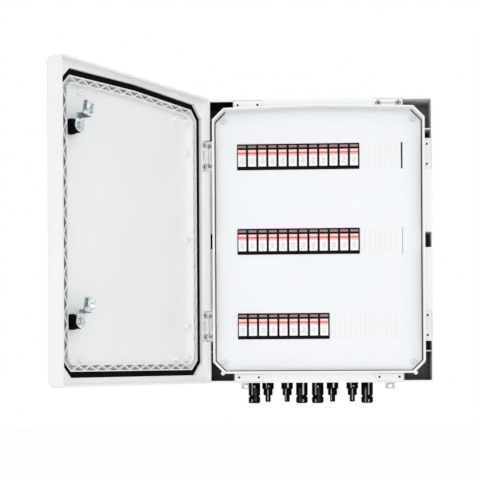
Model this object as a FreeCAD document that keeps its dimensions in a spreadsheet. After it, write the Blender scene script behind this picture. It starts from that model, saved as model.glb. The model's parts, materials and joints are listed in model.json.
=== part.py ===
import FreeCAD, Part
import math
import os

import Sketcher

# PV junction box: a moulded wall enclosure with a hinged door, a front plate over three
# rows of plug-in surge arresters, and eight panel connectors in its floor.
# Origin: middle of the back face, which lies on the wall. X right, Z up, the front faces -Y.
# "Forward" below is the distance in front of the wall, so forward 180 is y = -180.

VALUES = {
    # case: outer box, walls, and the raised sealing lip round the opening
    "case_width": 400, "case_height": 500, "case_depth": 180, "case_wall": 3.5, "case_corner": 7,
    "flange_thick": 3, "lip_inset_side": 14.6, "lip_inset_end": 17.4, "lip_rise": 16, "lip_thick": 3,
    "lip_chamfer": 20, "lip_crown": 4.5,
    # corner and side pockets of the case front
    "pocket_depth": 75, "pocket_wall": 2.5, "pocket_side_reach": 69, "pocket_end_reach": 48,
    "side_pocket_height": 27, "pocket_gap": 1.2, "pocket_rim": 2.1,
    "pocket_rib_place": 195, "pocket_rib_thick": 2, "pocket_rib_sink": 6,
    # fixing pads on the flange, one design for hinges and spare places
    "pad_length": 52, "pad_sink": 1, "pad_edge": 1.6, "pad_hole_inset": 9.5, "pad_hole_pitch": 35,
    "pad_hole": 3.4, "pad_boss": 7.6, "pad_boss_depth": 9, "end_pad_place": 123.5, "pad_lip_gap": 2,
    "pad_screw_head": 8, "pad_screw_length": 6, "fitting_height": 150,
    # round stops for the door on the lower edge of the flange
    "stop": 7, "stop_place": 169, "stop_edge": 17, "stop_rise": 5,
    # door: a shallow tray with a gasket channel and a ring of triangular ribs
    "door_gap": 0.8, "door_depth": 29.5, "door_skin": 3, "door_rim": 3.5, "door_edge": 4,
    "door_open": 119.5, "door_corner": 7, "ledge_sink": 12, "channel_wall": 1.8, "channel_sink": 11.4,
    "gasket_width": 9.5, "gasket_thick": 7, "gasket_press_gap": 0.3, "gasket_round": 1.6,
    "gasket_play": 0.1, "rib_reach": 8, "rib_thick": 1.3, "rib_sink": 15.3,
    "rib_pitch_side": 31, "rib_count_side": 13, "rib_pitch_end": 28.8, "rib_count_end": 11,
    "door_boss": 9, "door_boss_hole": 3.2, "door_boss_height": 7, "boss_inset_corner": 40,
    "boss_inset_inner": 71, "boss_inset_end": 43, "sprue": 5, "sprue_place": 9, "sprue_rise": 0.6,
    # hinges
    "hinge_axis_inset": 3, "hinge_axis_rise": 8, "hinge_pin": 3.6, "pin_play": 0.1, "hinge_barrel": 7.2,
    "hinge_middle": 15, "hinge_outer": 5.7, "hinge_slack": 0.3, "frame_leaf_thick": 3,
    "door_leaf_thick": 2.5, "door_leaf_screw_inset": 4.4,
    "door_leaf_screw_pitch": 39, "leaf_lip_gap": 0.6, "leaf_wall_gap": 0.3, "leaf_side_gap": 0.5,
    "leaf_sink": 2, "hinge_web": 5, "hinge_screw_head": 6.4, "hinge_screw_thick": 2,
    "hinge_slot": 1.6, "hinge_slot_length": 10, "hinge_slot_place": 3.5, "hinge_groove": 1.2,
    # locks
    "lock_inset": 50, "lock_body": 22, "lock_head": 30, "lock_head_thick": 2, "lock_nut": 24.6,
    "lock_nut_thick": 8, "lock_end": 189, "spindle": 13, "spindle_square": 8, "key_slot": 8,
    "cam_hub": 20, "cam_thick": 3, "cam_width": 18, "cam_reach": 39.2, "cam_riser_place": 15,
    "cam_fold": 4.6, "cam_fold_start": 21,
    "cam_flange_gap": 0.6, "cam_tip_taper": 2.5, "cam_tip_point": 0.9, "cam_screw_head": 11,
    "cam_screw_thick": 4, "cam_screw_shank": 5, "cam_screw_length": 8, "cam_rest": 100,
    # front plate and what holds it
    "plate_sink": 12, "plate_thick": 2, "plate_gap": 1.2, "plate_screw_inset": 14.4,
    "plate_screw_head": 9, "plate_screw_thick": 2.5, "plate_screw_shank": 4,
    "plate_screw_length": 12, "post_width": 11, "post_bore_depth": 14,
    "window_left": 143, "window_width": 292, "window_height": 46,
    # mounting frame, rails and arresters
    "row_pitch": 150, "rail_seat": 103, "rail_height": 35, "rail_web": 25, "rail_depth": 7.5,
    "rail_thick": 1, "rail_length": 344, "upright_place": 161, "upright_width": 22,
    "upright_depth": 18, "upright_thick": 2, "upright_length": 400, "spacer_width": 14,
    "spacer_place": 180, "frame_screw_head": 9, "frame_screw_thick": 3, "frame_screw_shank": 5,
    "spacer_screw_length": 12, "rail_screw_length": 8,
    "module": 18, "module_slack": 0.4, "arrester_height": 90, "arrester_shoulder": 41,
    "arrester_nose": 45, "arrester_front": 66, "foot_reach": 2, "foot_depth": 4,
    "slot_top": 20.6, "slot_bottom": 16.4, "slot_depth": 30, "cartridge_slack": 0.2,
    "cartridge_proud": 0.6, "strip_slack": 0.3,
    "strip_score": 9, "strip_score_width": 0.8, "strip_score_depth": 0.8, "strip_flange": 1.5,
    "strip_end_gap": 3,
    # connectors in the floor of the case
    "connector_forward": 90, "connector_hole": 15, "connector_stem": 14.4, "connector_flange": 21.6,
    "seal_thick": 1.5, "seal_width": 19.6, "nut_width": 20, "nut_thick": 5, "stem_top": 9,
    "grip_width": 3, "grip_depth": 1.1, "grip_start": 2, "socket_grip_length": 18, "plug_grip_length": 7,
    "socket_reach": 37.5, "socket_bore": 13, "socket_bore_depth": 20, "socket_waist": 24.7,
    "socket_waist_sink": 1.7, "socket_waist_height": 1.6, "socket_slope": 1.6, "socket_tip": 2,
    "plug_reach": 35, "plug_bore": 7, "plug_bore_depth": 14, "plug_sleeve": 17, "plug_sleeve_start": 11,
    "plug_sleeve_end": 22.5, "plug_nose": 9.8, "plug_slope": 1.2,
    # wall lugs and the earth bar
    "lug_place": 136.5, "lug_width": 18, "lug_thick": 4, "lug_overlap": 30, "lug_reach": 15,
    "lug_hole": 6.6, "lug_hole_out": 10, "lug_screw_head": 8, "earth_length": 120,
    "earth_height": 12, "earth_thick": 8, "earth_drop": 205, "earth_standoff": 10, "earth_hole": 5,
    "earth_foot": 10, "earth_foot_inset": 8, "earth_pitch": 12,
}

# Middle of each connector from the case's middle, and its kind, from left to right.
CONNECTORS = (
    (-117.5, "socket"), (-92.5, "plug"), (-57.5, "plug"), (-30.5, "socket"),
    (-1.5, "socket"), (25.5, "plug"), (61.5, "plug"), (88.5, "socket"),
)
# Grip grooves round each connector.
GRIPS = 6
# Three-pole arresters in each row, from the top row down.
ROWS = (("top", 1, 4), ("middle", 0, 4), ("bottom", -1, 3))

os.makedirs("parts", exist_ok=True)
doc = FreeCAD.newDocument("pv_junction_box")
sheet = doc.addObject("Spreadsheet::Sheet", "Sizes")


class Size:
    """A number together with the formula that makes it from the cells of the sheet."""

    def __init__(self, value, text):
        self.value = value
        self.text = text

    def __add__(self, other):
        other = as_size(other)
        return Size(self.value + other.value, f"({self.text} + {other.text})")

    def __radd__(self, other):
        return as_size(other) + self

    def __sub__(self, other):
        other = as_size(other)
        return Size(self.value - other.value, f"({self.text} - {other.text})")

    def __rsub__(self, other):
        return as_size(other) - self

    def __mul__(self, number):
        number = as_size(number)
        return Size(self.value * number.value, f"({self.text} * {number.text})")

    __rmul__ = __mul__

    def __truediv__(self, number):
        number = as_size(number)
        return Size(self.value / number.value, f"({self.text} / {number.text})")

    def __neg__(self):
        return Size(-self.value, f"(-1 * {self.text})")


def as_size(number):
    return number if isinstance(number, Size) else Size(float(number), repr(float(number)))


class Cells:
    """Each cell of the sheet as an attribute that is a Size."""


cell = Cells()
for row, (alias, number) in enumerate(VALUES.items(), 1):
    sheet.set(f"A{row}", alias)
    sheet.set(f"B{row}", str(number))
    sheet.setAlias(f"B{row}", alias)
    setattr(cell, alias, Size(float(number), f"<<Sizes>>.{alias}"))
doc.recompute()


def vec(x, y, z=0.0):
    return FreeCAD.Vector(x, y, z)


def new_body(label):
    body = doc.addObject("PartDesign::Body", label)
    body.Label = label
    return body


def origin_part(body, role):
    return [item for item in body.Origin.OriginFeatures if item.Role == role][0]


def place(item, x, y, z):
    """Binds the position of an object to formulas."""
    item.Placement = FreeCAD.Placement(vec(x.value, y.value, z.value), FreeCAD.Rotation())
    for axis, size in (("x", x), ("y", y), ("z", z)):
        item.setExpression(f"Placement.Base.{axis}", size.text)


def new_sketch(body, name, offset=0, role="XZ_Plane"):
    """A sketch on one of the body's planes; on XZ_Plane the offset is the forward distance."""
    sketch = body.newObject("Sketcher::SketchObject", name)
    sketch.AttachmentSupport = [(origin_part(body, role), "")]
    sketch.MapMode = "FlatFace"
    offset = as_size(offset)
    sketch.AttachmentOffset = FreeCAD.Placement(vec(0, 0, offset.value), FreeCAD.Rotation())
    sketch.setExpression("AttachmentOffset.Base.z", offset.text)
    return sketch


def hold_point(rules, texts, geometry, position, x, y):
    """Adds the two constraints that hold one point of a sketch at x, y from its origin."""
    for kind, axis, size in (("DistanceX", -2, as_size(x)), ("DistanceY", -1, as_size(y))):
        if abs(size.value) < 1e-9:
            rules.append(Sketcher.Constraint("PointOnObject", geometry, position, axis))
            texts.append(None)
        elif size.value > 0:
            rules.append(Sketcher.Constraint(kind, -1, 1, geometry, position, size.value))
            texts.append(size.text)
        else:
            rules.append(Sketcher.Constraint(kind, geometry, position, -1, 1, -size.value))
            texts.append((-size).text)


def bind_rules(sketch, rules, texts):
    first = sketch.ConstraintCount
    sketch.addConstraint(rules)
    for index, text in enumerate(texts):
        if text is not None:
            sketch.setExpression(f"Constraints[{first + index}]", text)


def draw_polygon(sketch, points):
    """A closed outline of straight edges through points given as pairs of sizes."""
    points = [(as_size(x), as_size(y)) for x, y in points]
    first = sketch.GeometryCount
    count = len(points)
    lines = []
    for index, (x, y) in enumerate(points):
        after_x, after_y = points[(index + 1) % count]
        lines.append(Part.LineSegment(vec(x.value, y.value), vec(after_x.value, after_y.value)))
    sketch.addGeometry(lines, False)
    rules = []
    texts = []
    for index, (x, y) in enumerate(points):
        before = first + (index - 1) % count
        rules.append(Sketcher.Constraint("Coincident", before, 2, first + index, 1))
        texts.append(None)
        hold_point(rules, texts, first + index, 1, x, y)
    bind_rules(sketch, rules, texts)


def draw_rectangle(sketch, left, bottom, right, top):
    draw_polygon(sketch, [(left, bottom), (right, bottom), (right, top), (left, top)])


def draw_circles(sketch, centres, diameter):
    """Circles of one diameter; the first carries the bound radius and the rest equal it."""
    first = sketch.GeometryCount
    radius = as_size(diameter) / 2
    centres = [(as_size(x), as_size(y)) for x, y in centres]
    circles = [Part.Circle(vec(x.value, y.value), vec(0, 0, 1), radius.value) for x, y in centres]
    sketch.addGeometry(circles, False)
    rules = [Sketcher.Constraint("Radius", first, radius.value)]
    texts = [radius.text]
    for index, (x, y) in enumerate(centres):
        hold_point(rules, texts, first + index, 3, x, y)
        if index:
            rules.append(Sketcher.Constraint("Equal", first, first + index))
            texts.append(None)
    bind_rules(sketch, rules, texts)


def draw_hexagons(sketch, centres, across):
    """Six-sided outlines of one width across their flat sides."""
    reach = as_size(across) / 2
    corner = reach * (2 / math.sqrt(3))
    for x, y in centres:
        draw_polygon(sketch, [(x + reach, y + corner / 2), (x, y + corner), (x - reach, y + corner / 2),
                              (x - reach, y - corner / 2), (x, y - corner), (x + reach, y - corner / 2)])


def pad(body, sketch, length, backward=False):
    feature = body.newObject("PartDesign::Pad", sketch.Name + "_pad")
    feature.Profile = sketch
    feature.Length = as_size(length).value
    feature.setExpression("Length", as_size(length).text)
    feature.Reversed = backward
    return feature


def pocket(body, sketch, length, forward=True):
    """Cuts the sketch's outline through the solid; it raises if nothing was cut."""
    doc.recompute()
    before = body.Shape.Volume
    feature = body.newObject("PartDesign::Pocket", sketch.Name + "_pocket")
    feature.Profile = sketch
    feature.Length = as_size(length).value
    feature.setExpression("Length", as_size(length).text)
    feature.Reversed = forward
    doc.recompute()
    if body.Shape.Volume > before - 1e-3:
        raise RuntimeError(f"{feature.Name} cuts nothing")
    return feature


def edges_of(body, test):
    """Names of the body's edges whose middle and direction pass the test."""
    doc.recompute()
    names = []
    for index, edge in enumerate(body.Shape.Edges, 1):
        middle = edge.valueAt((edge.FirstParameter + edge.LastParameter) / 2)
        along = (edge.lastVertex().Point - edge.firstVertex().Point)
        if test(middle, along):
            names.append(f"Edge{index}")
    return names


def dress_edges(body, kind, test, size):
    """A fillet or chamfer on the edges that pass the test."""
    names = edges_of(body, test)
    if not names:
        raise RuntimeError(f"{body.Label}: no edge for {kind}")
    before = body.Tip
    feature = body.newObject(f"PartDesign::{kind}", f"{body.Name}_{kind.lower()}")
    feature.Base = (before, names)
    prop = "Radius" if kind == "Fillet" else "Size"
    setattr(feature, prop, size.value)
    feature.setExpression(prop, size.text)
    doc.recompute()
    return feature


def is_forward(along, length):
    """True for an edge that runs straight along Y for about the given length."""
    return abs(abs(along.y) - length) < 0.5 and abs(along.x) < 1e-3 and abs(along.z) < 1e-3


def corners(x, y):
    """The four points at plus and minus x and y."""
    return [(x, y), (-x, y), (-x, -y), (x, -y)]


def by_value(size):
    return size.value


# How far a pad reaches into the material it joins, and the play of a shank in its hole.
# A nut or seal clears the stem it sits on by the last of these.
JOIN = 0.5
PLAY = 0.3
THREAD = 0.04

# Outline of the sealing lip and of everything that follows it: an octagon whose top edge
# rises a little towards the middle, so that rain runs off the lip.
lip_x = cell.case_width / 2 - cell.lip_inset_side
lip_z = cell.case_height / 2 - cell.lip_inset_end
CHAMFER_SHRINK = 2 - math.sqrt(2)


def lip_outline(inward):
    """The lip's outer outline, moved inward by a distance."""
    x = lip_x - inward
    z = lip_z - inward
    chamfer = cell.lip_chamfer - inward * CHAMFER_SHRINK
    right = [(x - chamfer, z), (x, z - chamfer), (x, chamfer - z), (x - chamfer, -z)]
    left = [(-px, pz) for px, pz in reversed(right)]
    return [(0, z + cell.lip_crown)] + right + left


half_width = cell.case_width / 2
half_height = cell.case_height / 2
inner_x = half_width - cell.case_wall
inner_z = half_height - cell.case_wall
flange_back = cell.case_depth - cell.flange_thick
pad_x = half_width - cell.pad_hole_inset
pad_z = half_height - cell.pad_hole_inset
half_pitch = cell.pad_hole_pitch / 2
lip_middle_x = lip_x - cell.lip_thick / 2
lip_middle_z = lip_z - cell.lip_thick / 2

# Centres of the screw holes in the fixing pads.
side_pad_holes = []
end_pad_holes = []
for side in (1, -1):
    for level in (1, -1):
        for step in (1, -1):
            side_pad_holes.append((side * pad_x, level * cell.fitting_height + step * half_pitch))
            end_pad_holes.append((side * cell.end_pad_place + step * half_pitch, level * pad_z))


def corner_pocket(side, level, grow):
    """L-shaped pocket between the lip and the case's corner, grown by a wall all round."""
    grow = as_size(grow)
    low_z = half_height - cell.pocket_side_reach - cell.case_wall - grow
    low_x = half_width - cell.pocket_end_reach - cell.case_wall - grow
    near_x = lip_x + cell.pocket_gap - grow
    near_z = lip_z + cell.pocket_gap - grow
    far_x = half_width - cell.pocket_rim
    far_z = inner_z + (JOIN if grow.value else 0)
    crown = cell.lip_crown * (0.15 if level > 0 else 0)
    points = [
        (near_x, low_z), (far_x, low_z), (far_x, far_z), (low_x, far_z),
        (low_x, near_z + crown), (near_x - cell.lip_chamfer, near_z),
        (near_x, near_z - cell.lip_chamfer),
    ]
    return [(side * x, level * z) for x, z in points]


def make_base():
    body = new_body("enclosure_base")
    outer = new_sketch(body, "base_outer")
    draw_rectangle(outer, -half_width, -half_height, half_width, half_height)
    pad(body, outer, cell.case_depth)
    dress_edges(body, "Fillet", lambda mid, along: is_forward(along, cell.case_depth.value),
                cell.case_corner)
    lip = new_sketch(body, "base_lip", flange_back)
    draw_polygon(lip, lip_outline(0))
    pad(body, lip, cell.flange_thick + cell.lip_rise)
    room = new_sketch(body, "base_room", cell.case_wall)
    draw_rectangle(room, -inner_x, -inner_z, inner_x, inner_z)
    pocket(body, room, flange_back - cell.case_wall)
    mouth = new_sketch(body, "base_mouth", cell.case_wall)
    draw_polygon(mouth, lip_outline(cell.lip_thick))
    pocket(body, mouth, cell.case_depth + cell.lip_rise)
    walls = new_sketch(body, "base_pocket_walls", cell.case_depth)
    for side in (1, -1):
        for level in (1, -1):
            draw_polygon(walls, corner_pocket(side, level, cell.pocket_wall))
    pad(body, walls, cell.pocket_depth + cell.pocket_wall, backward=True)
    mid_walls = new_sketch(body, "base_side_pocket_walls", cell.case_depth)
    mid_inner = lip_x + cell.pocket_gap
    grown = cell.side_pocket_height / 2 + cell.pocket_wall
    mid_outer = half_width - cell.pocket_rim
    draw_rectangle(mid_walls, mid_inner - cell.pocket_wall, -grown, mid_outer, grown)
    draw_rectangle(mid_walls, -mid_outer, -grown, cell.pocket_wall - mid_inner, grown)
    pad(body, mid_walls, cell.pocket_depth + cell.pocket_wall, backward=True)
    for name, holes in (("side", side_pad_holes), ("end", end_pad_holes)):
        bosses = new_sketch(body, f"base_{name}_bosses", flange_back + JOIN)
        draw_circles(bosses, holes, cell.pad_boss)
        pad(body, bosses, cell.pad_boss_depth, backward=True)
    pockets = new_sketch(body, "base_pockets", cell.case_depth)
    for side in (1, -1):
        for level in (1, -1):
            draw_polygon(pockets, corner_pocket(side, level, 0))
    pocket(body, pockets, cell.pocket_depth, forward=False)
    mids = new_sketch(body, "base_side_pockets", cell.case_depth)
    tall = cell.side_pocket_height / 2
    draw_rectangle(mids, mid_inner, -tall, mid_outer, tall)
    draw_rectangle(mids, -mid_outer, -tall, -mid_inner, tall)
    pocket(body, mids, cell.pocket_depth, forward=False)
    ribs = new_sketch(body, "base_pocket_ribs", cell.case_depth - cell.pocket_rib_sink)
    half_rib = cell.pocket_rib_thick / 2
    for side in (1, -1):
        for level in (1, -1):
            xs = sorted((side * (mid_inner - JOIN), side * (mid_outer + JOIN)), key=by_value)
            middle = level * cell.pocket_rib_place
            draw_rectangle(ribs, xs[0], middle - half_rib, xs[1], middle + half_rib)
    pad(body, ribs, cell.pocket_depth - cell.pocket_rib_sink + JOIN, backward=True)
    sinks = new_sketch(body, "base_pads", cell.case_depth)
    half_pad = cell.pad_length / 2
    for side in (1, -1):
        for level in (1, -1):
            xs = sorted((side * (lip_x + 0.3), side * (half_width - cell.pad_edge)), key=by_value)
            middle = level * cell.fitting_height
            draw_rectangle(sinks, xs[0], middle - half_pad, xs[1], middle + half_pad)
            zs = sorted((level * (lip_z + cell.pad_lip_gap), level * (half_height - cell.pad_edge)),
                        key=by_value)
            across = side * cell.end_pad_place
            draw_rectangle(sinks, across - half_pad, zs[0], across + half_pad, zs[1])
    pocket(body, sinks, cell.pad_sink, forward=False)
    for name, holes in (("side", side_pad_holes), ("end", end_pad_holes)):
        pilots = new_sketch(body, f"base_{name}_pilots", cell.case_depth)
        draw_circles(pilots, holes, cell.pad_hole)
        pocket(body, pilots, cell.pad_boss_depth, forward=False)
    stops = new_sketch(body, "base_stops", flange_back)
    stop_z = cell.stop_edge - half_height
    draw_circles(stops, [(cell.stop_place, stop_z), (-cell.stop_place, stop_z)], cell.stop)
    pad(body, stops, cell.flange_thick + cell.stop_rise)
    floor_holes = new_sketch(body, "base_connector_holes", -half_height - 1, "XY_Plane")
    draw_circles(floor_holes, [(x, -cell.connector_forward) for x, kind in CONNECTORS],
                 cell.connector_hole)
    pocket(body, floor_holes, cell.case_wall + 2)
    return body


door_back = cell.case_depth + cell.door_gap
door_front = door_back + cell.door_depth
door_floor = door_front - cell.door_skin
ledge = door_back + cell.ledge_sink
wall_tip = door_back + cell.channel_sink
gasket_face = cell.case_depth + cell.lip_rise + cell.gasket_press_gap
channel_floor = gasket_face + cell.gasket_thick
half_gasket = cell.gasket_width / 2
gasket_outer = cell.lip_thick / 2 - half_gasket
gasket_inner = cell.lip_thick / 2 + half_gasket
ring_outer = gasket_inner + cell.channel_wall
ring_inner = ring_outer + cell.rib_reach
lattice_tip = door_back + cell.rib_sink
leaf_seat = ledge + cell.leaf_sink
hinge_x = -half_width + cell.hinge_axis_inset
hinge_forward = cell.case_depth + cell.hinge_axis_rise
lock_x = half_width - cell.lock_inset


def swing(item, turn=None):
    """Opens a piece of the door, drawn closed, by the rest angle about the hinge axis."""
    centre = vec(hinge_x.value, -hinge_forward.value)
    about = FreeCAD.Rotation(vec(0, 0, 1), -cell.door_open.value)
    opened = FreeCAD.Placement(vec(0, 0), about, centre)
    item.Placement = opened.multiply(turn) if turn else opened


def make_door():
    body = new_body("door_shell")
    outer = new_sketch(body, "door_outer", door_back)
    draw_rectangle(outer, -half_width, -half_height, half_width, half_height)
    pad(body, outer, cell.door_depth)
    dress_edges(body, "Fillet", lambda mid, along: is_forward(along, cell.door_depth.value),
                cell.door_corner)
    dress_edges(body, "Fillet", lambda mid, along: abs(mid.y + door_front.value) < 1e-3, cell.door_edge)
    rim_x = half_width - cell.door_rim
    rim_z = half_height - cell.door_rim
    recess = new_sketch(body, "door_recess", door_back)
    draw_rectangle(recess, -rim_x, -rim_z, rim_x, rim_z)
    pocket(body, recess, cell.ledge_sink)
    walls = new_sketch(body, "door_channel_walls", wall_tip)
    draw_polygon(walls, lip_outline(gasket_outer - cell.channel_wall))
    pad(body, walls, ledge + 1 - wall_tip)
    inside = new_sketch(body, "door_inside", door_back)
    draw_polygon(inside, lip_outline(ring_outer))
    pocket(body, inside, door_floor - door_back)
    inner_wall = new_sketch(body, "door_inner_wall", wall_tip)
    draw_polygon(inner_wall, lip_outline(half_gasket))
    pocket(body, inner_wall, lattice_tip - wall_tip)
    channel = new_sketch(body, "door_channel", door_back)
    draw_polygon(channel, lip_outline(gasket_outer))
    draw_polygon(channel, lip_outline(gasket_inner))
    pocket(body, channel, channel_floor - door_back)
    ring = new_sketch(body, "door_ring_wall", lattice_tip)
    draw_polygon(ring, lip_outline(ring_inner))
    draw_polygon(ring, lip_outline(ring_inner + cell.rib_thick))
    pad(body, ring, door_floor - lattice_tip + JOIN)
    add_lattice(body)
    add_door_bosses(body)
    notches = new_sketch(body, "door_hinge_notches", door_back)
    half = cell.pad_length / 2 + 1
    wall = gasket_outer - lip_x - cell.channel_wall
    for level in (1, -1):
        middle = level * cell.fitting_height
        draw_rectangle(notches, -half_width - 1, middle - half, wall, middle + half)
    pocket(body, notches, cell.ledge_sink + cell.leaf_sink)
    screws = new_sketch(body, "door_hinge_pilots", leaf_seat)
    draw_circles(screws, door_leaf_holes(), cell.pad_hole)
    pocket(body, screws, cell.pad_boss_depth)
    locks = new_sketch(body, "door_lock_holes", door_floor - 1)
    draw_circles(locks, [(lock_x, cell.fitting_height), (lock_x, -cell.fitting_height)],
                 cell.lock_body + 0.4)
    pocket(body, locks, cell.door_skin + 2)
    return body


def chevron(pitch):
    """A V of two ribs that fills one pitch of the row; its ends sink into the walls."""
    across = pitch / 2
    height = cell.rib_reach
    half = cell.rib_thick * (0.5 / math.sin(math.atan(height.value / across.value)))
    sink = cell.rib_thick / 2
    rise = sink * (across.value / height.value)
    return [
        (-across - half - rise, height + sink), (-half, -sink), (half, -sink),
        (across + half + rise, height + sink), (across - half + rise, height + sink),
        (0, half * (height.value / across.value)), (half - across - rise, height + sink),
    ]


def add_lattice(body):
    """Zigzag ribs between the gasket channel and the ring wall, on all four sides."""
    depth = door_floor - lattice_tip + JOIN
    side = new_sketch(body, "side_rib", lattice_tip)
    near = lip_x - ring_inner
    row = cell.rib_pitch_side * (cell.rib_count_side - 1)
    draw_polygon(side, [(near + up, along - row / 2) for along, up in chevron(cell.rib_pitch_side)])
    side_pad = pad(body, side, depth)
    repeat_feature(body, side_pad, side, "V_Axis", row, cell.rib_count_side, ["YZ_Plane"])
    bottom = new_sketch(body, "bottom_rib", lattice_tip)
    near = ring_inner - lip_z
    row = cell.rib_pitch_end * (cell.rib_count_end - 1)
    draw_polygon(bottom, [(along - row / 2, near - up) for along, up in chevron(cell.rib_pitch_end)])
    bottom_pad = pad(body, bottom, depth)
    repeat_feature(body, bottom_pad, bottom, "H_Axis", row, cell.rib_count_end, [])
    slope = cell.lip_crown.value / (lip_x - cell.lip_chamfer).value
    top = new_sketch(body, "top_ribs", lattice_tip)
    apex = lip_z + cell.lip_crown - ring_inner
    for index in range(int(cell.rib_count_end.value)):
        middle = cell.rib_pitch_end * index - row / 2
        draw_polygon(top, [(middle + along, apex + up - slope * abs((middle + along).value))
                           for along, up in chevron(cell.rib_pitch_end)])
    pad(body, top, depth)


def repeat_feature(body, feature, sketch, axis, length, count, mirrors):
    """Repeats a feature along a sketch axis and mirrors the row in the body's planes."""
    doc.recompute()
    repeat = body.newObject("PartDesign::MultiTransform", feature.Name + "_repeat")
    repeat.Originals = [feature]
    row = body.newObject("PartDesign::LinearPattern", feature.Name + "_row")
    row.Direction = (sketch, [axis])
    row.Length = length.value
    row.setExpression("Length", length.text)
    row.Occurrences = int(count.value)
    row.setExpression("Occurrences", count.text)
    steps = [row]
    for role in mirrors:
        mirror = body.newObject("PartDesign::Mirrored", f"{feature.Name}_mirror_{role[:2]}")
        mirror.MirrorPlane = (origin_part(body, role), [""])
        steps.append(mirror)
    repeat.Transformations = steps
    body.Tip = repeat
    doc.recompute()


def door_boss_places():
    inner = half_width - cell.boss_inset_inner
    outer = half_width - cell.boss_inset_corner
    high = half_height - cell.boss_inset_end
    places = corners(outer, high) + corners(inner, high)
    places += [(side * outer, 0) for side in (1, -1)]
    places += [(-outer, cell.fitting_height), (-outer, -cell.fitting_height)]
    return places


def add_door_bosses(body):
    bosses = new_sketch(body, "door_bosses", door_floor - cell.door_boss_height)
    draw_circles(bosses, door_boss_places(), cell.door_boss)
    pad(body, bosses, cell.door_boss_height + JOIN)
    holes = new_sketch(body, "door_boss_holes", door_floor - cell.door_boss_height)
    draw_circles(holes, door_boss_places(), cell.door_boss_hole)
    pocket(body, holes, cell.door_boss_height - 1)
    mark = new_sketch(body, "door_sprue", door_floor - cell.sprue_rise)
    draw_circles(mark, [(cell.sprue_place, 0)], cell.sprue)
    pad(body, mark, cell.sprue_rise + JOIN)


def door_leaf_holes():
    holes = []
    for level in (1, -1):
        for step in (1, -1):
            z = level * cell.fitting_height + step * cell.door_leaf_screw_pitch / 2
            holes.append((-half_width + cell.door_leaf_screw_inset, z))
    return holes


def make_gasket():
    body = new_body("door_gasket")
    ring = new_sketch(body, "gasket_ring", gasket_face)
    draw_polygon(ring, lip_outline(gasket_outer + cell.gasket_play))
    draw_polygon(ring, lip_outline(gasket_inner - cell.gasket_play))
    pad(body, ring, cell.gasket_thick)
    dress_edges(body, "Fillet", lambda mid, along: abs(mid.y + gasket_face.value) < 1e-3,
                cell.gasket_round)
    return body


def cylinder(name, radius, length, x, y, z, axis=None):
    """A Part cylinder that starts at x, y, z and runs along Z, or along an axis vector."""
    item = doc.addObject("Part::Cylinder", name)
    turn = FreeCAD.Rotation(vec(0, 0, 1), axis) if axis else FreeCAD.Rotation()
    item.Placement = FreeCAD.Placement(vec(0, 0), turn)
    for prop, size in (("Radius", radius), ("Height", length), ("Placement.Base.x", x),
                       ("Placement.Base.y", y), ("Placement.Base.z", z)):
        item.setExpression(prop, as_size(size).text)
    return item


def box(name, x, y, z, width, depth, height):
    """A Part box from its lowest corner."""
    item = doc.addObject("Part::Box", name)
    for prop, size in (("Length", width), ("Width", depth), ("Height", height),
                       ("Placement.Base.x", x), ("Placement.Base.y", y), ("Placement.Base.z", z)):
        item.setExpression(prop, as_size(size).text)
    return item


def fuse(label, items):
    joined = doc.addObject("Part::MultiFuse", label)
    joined.Label = label
    joined.Shapes = items
    return joined


def cut(label, base, tools):
    tool = tools[0] if len(tools) == 1 else fuse(label + "_tools", tools)
    result = doc.addObject("Part::Cut", label)
    result.Label = label
    result.Base = base
    result.Tool = tool
    return result


def gather(label, items):
    group = doc.addObject("Part::Compound", label)
    group.Label = label
    group.Links = items
    return group


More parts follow.
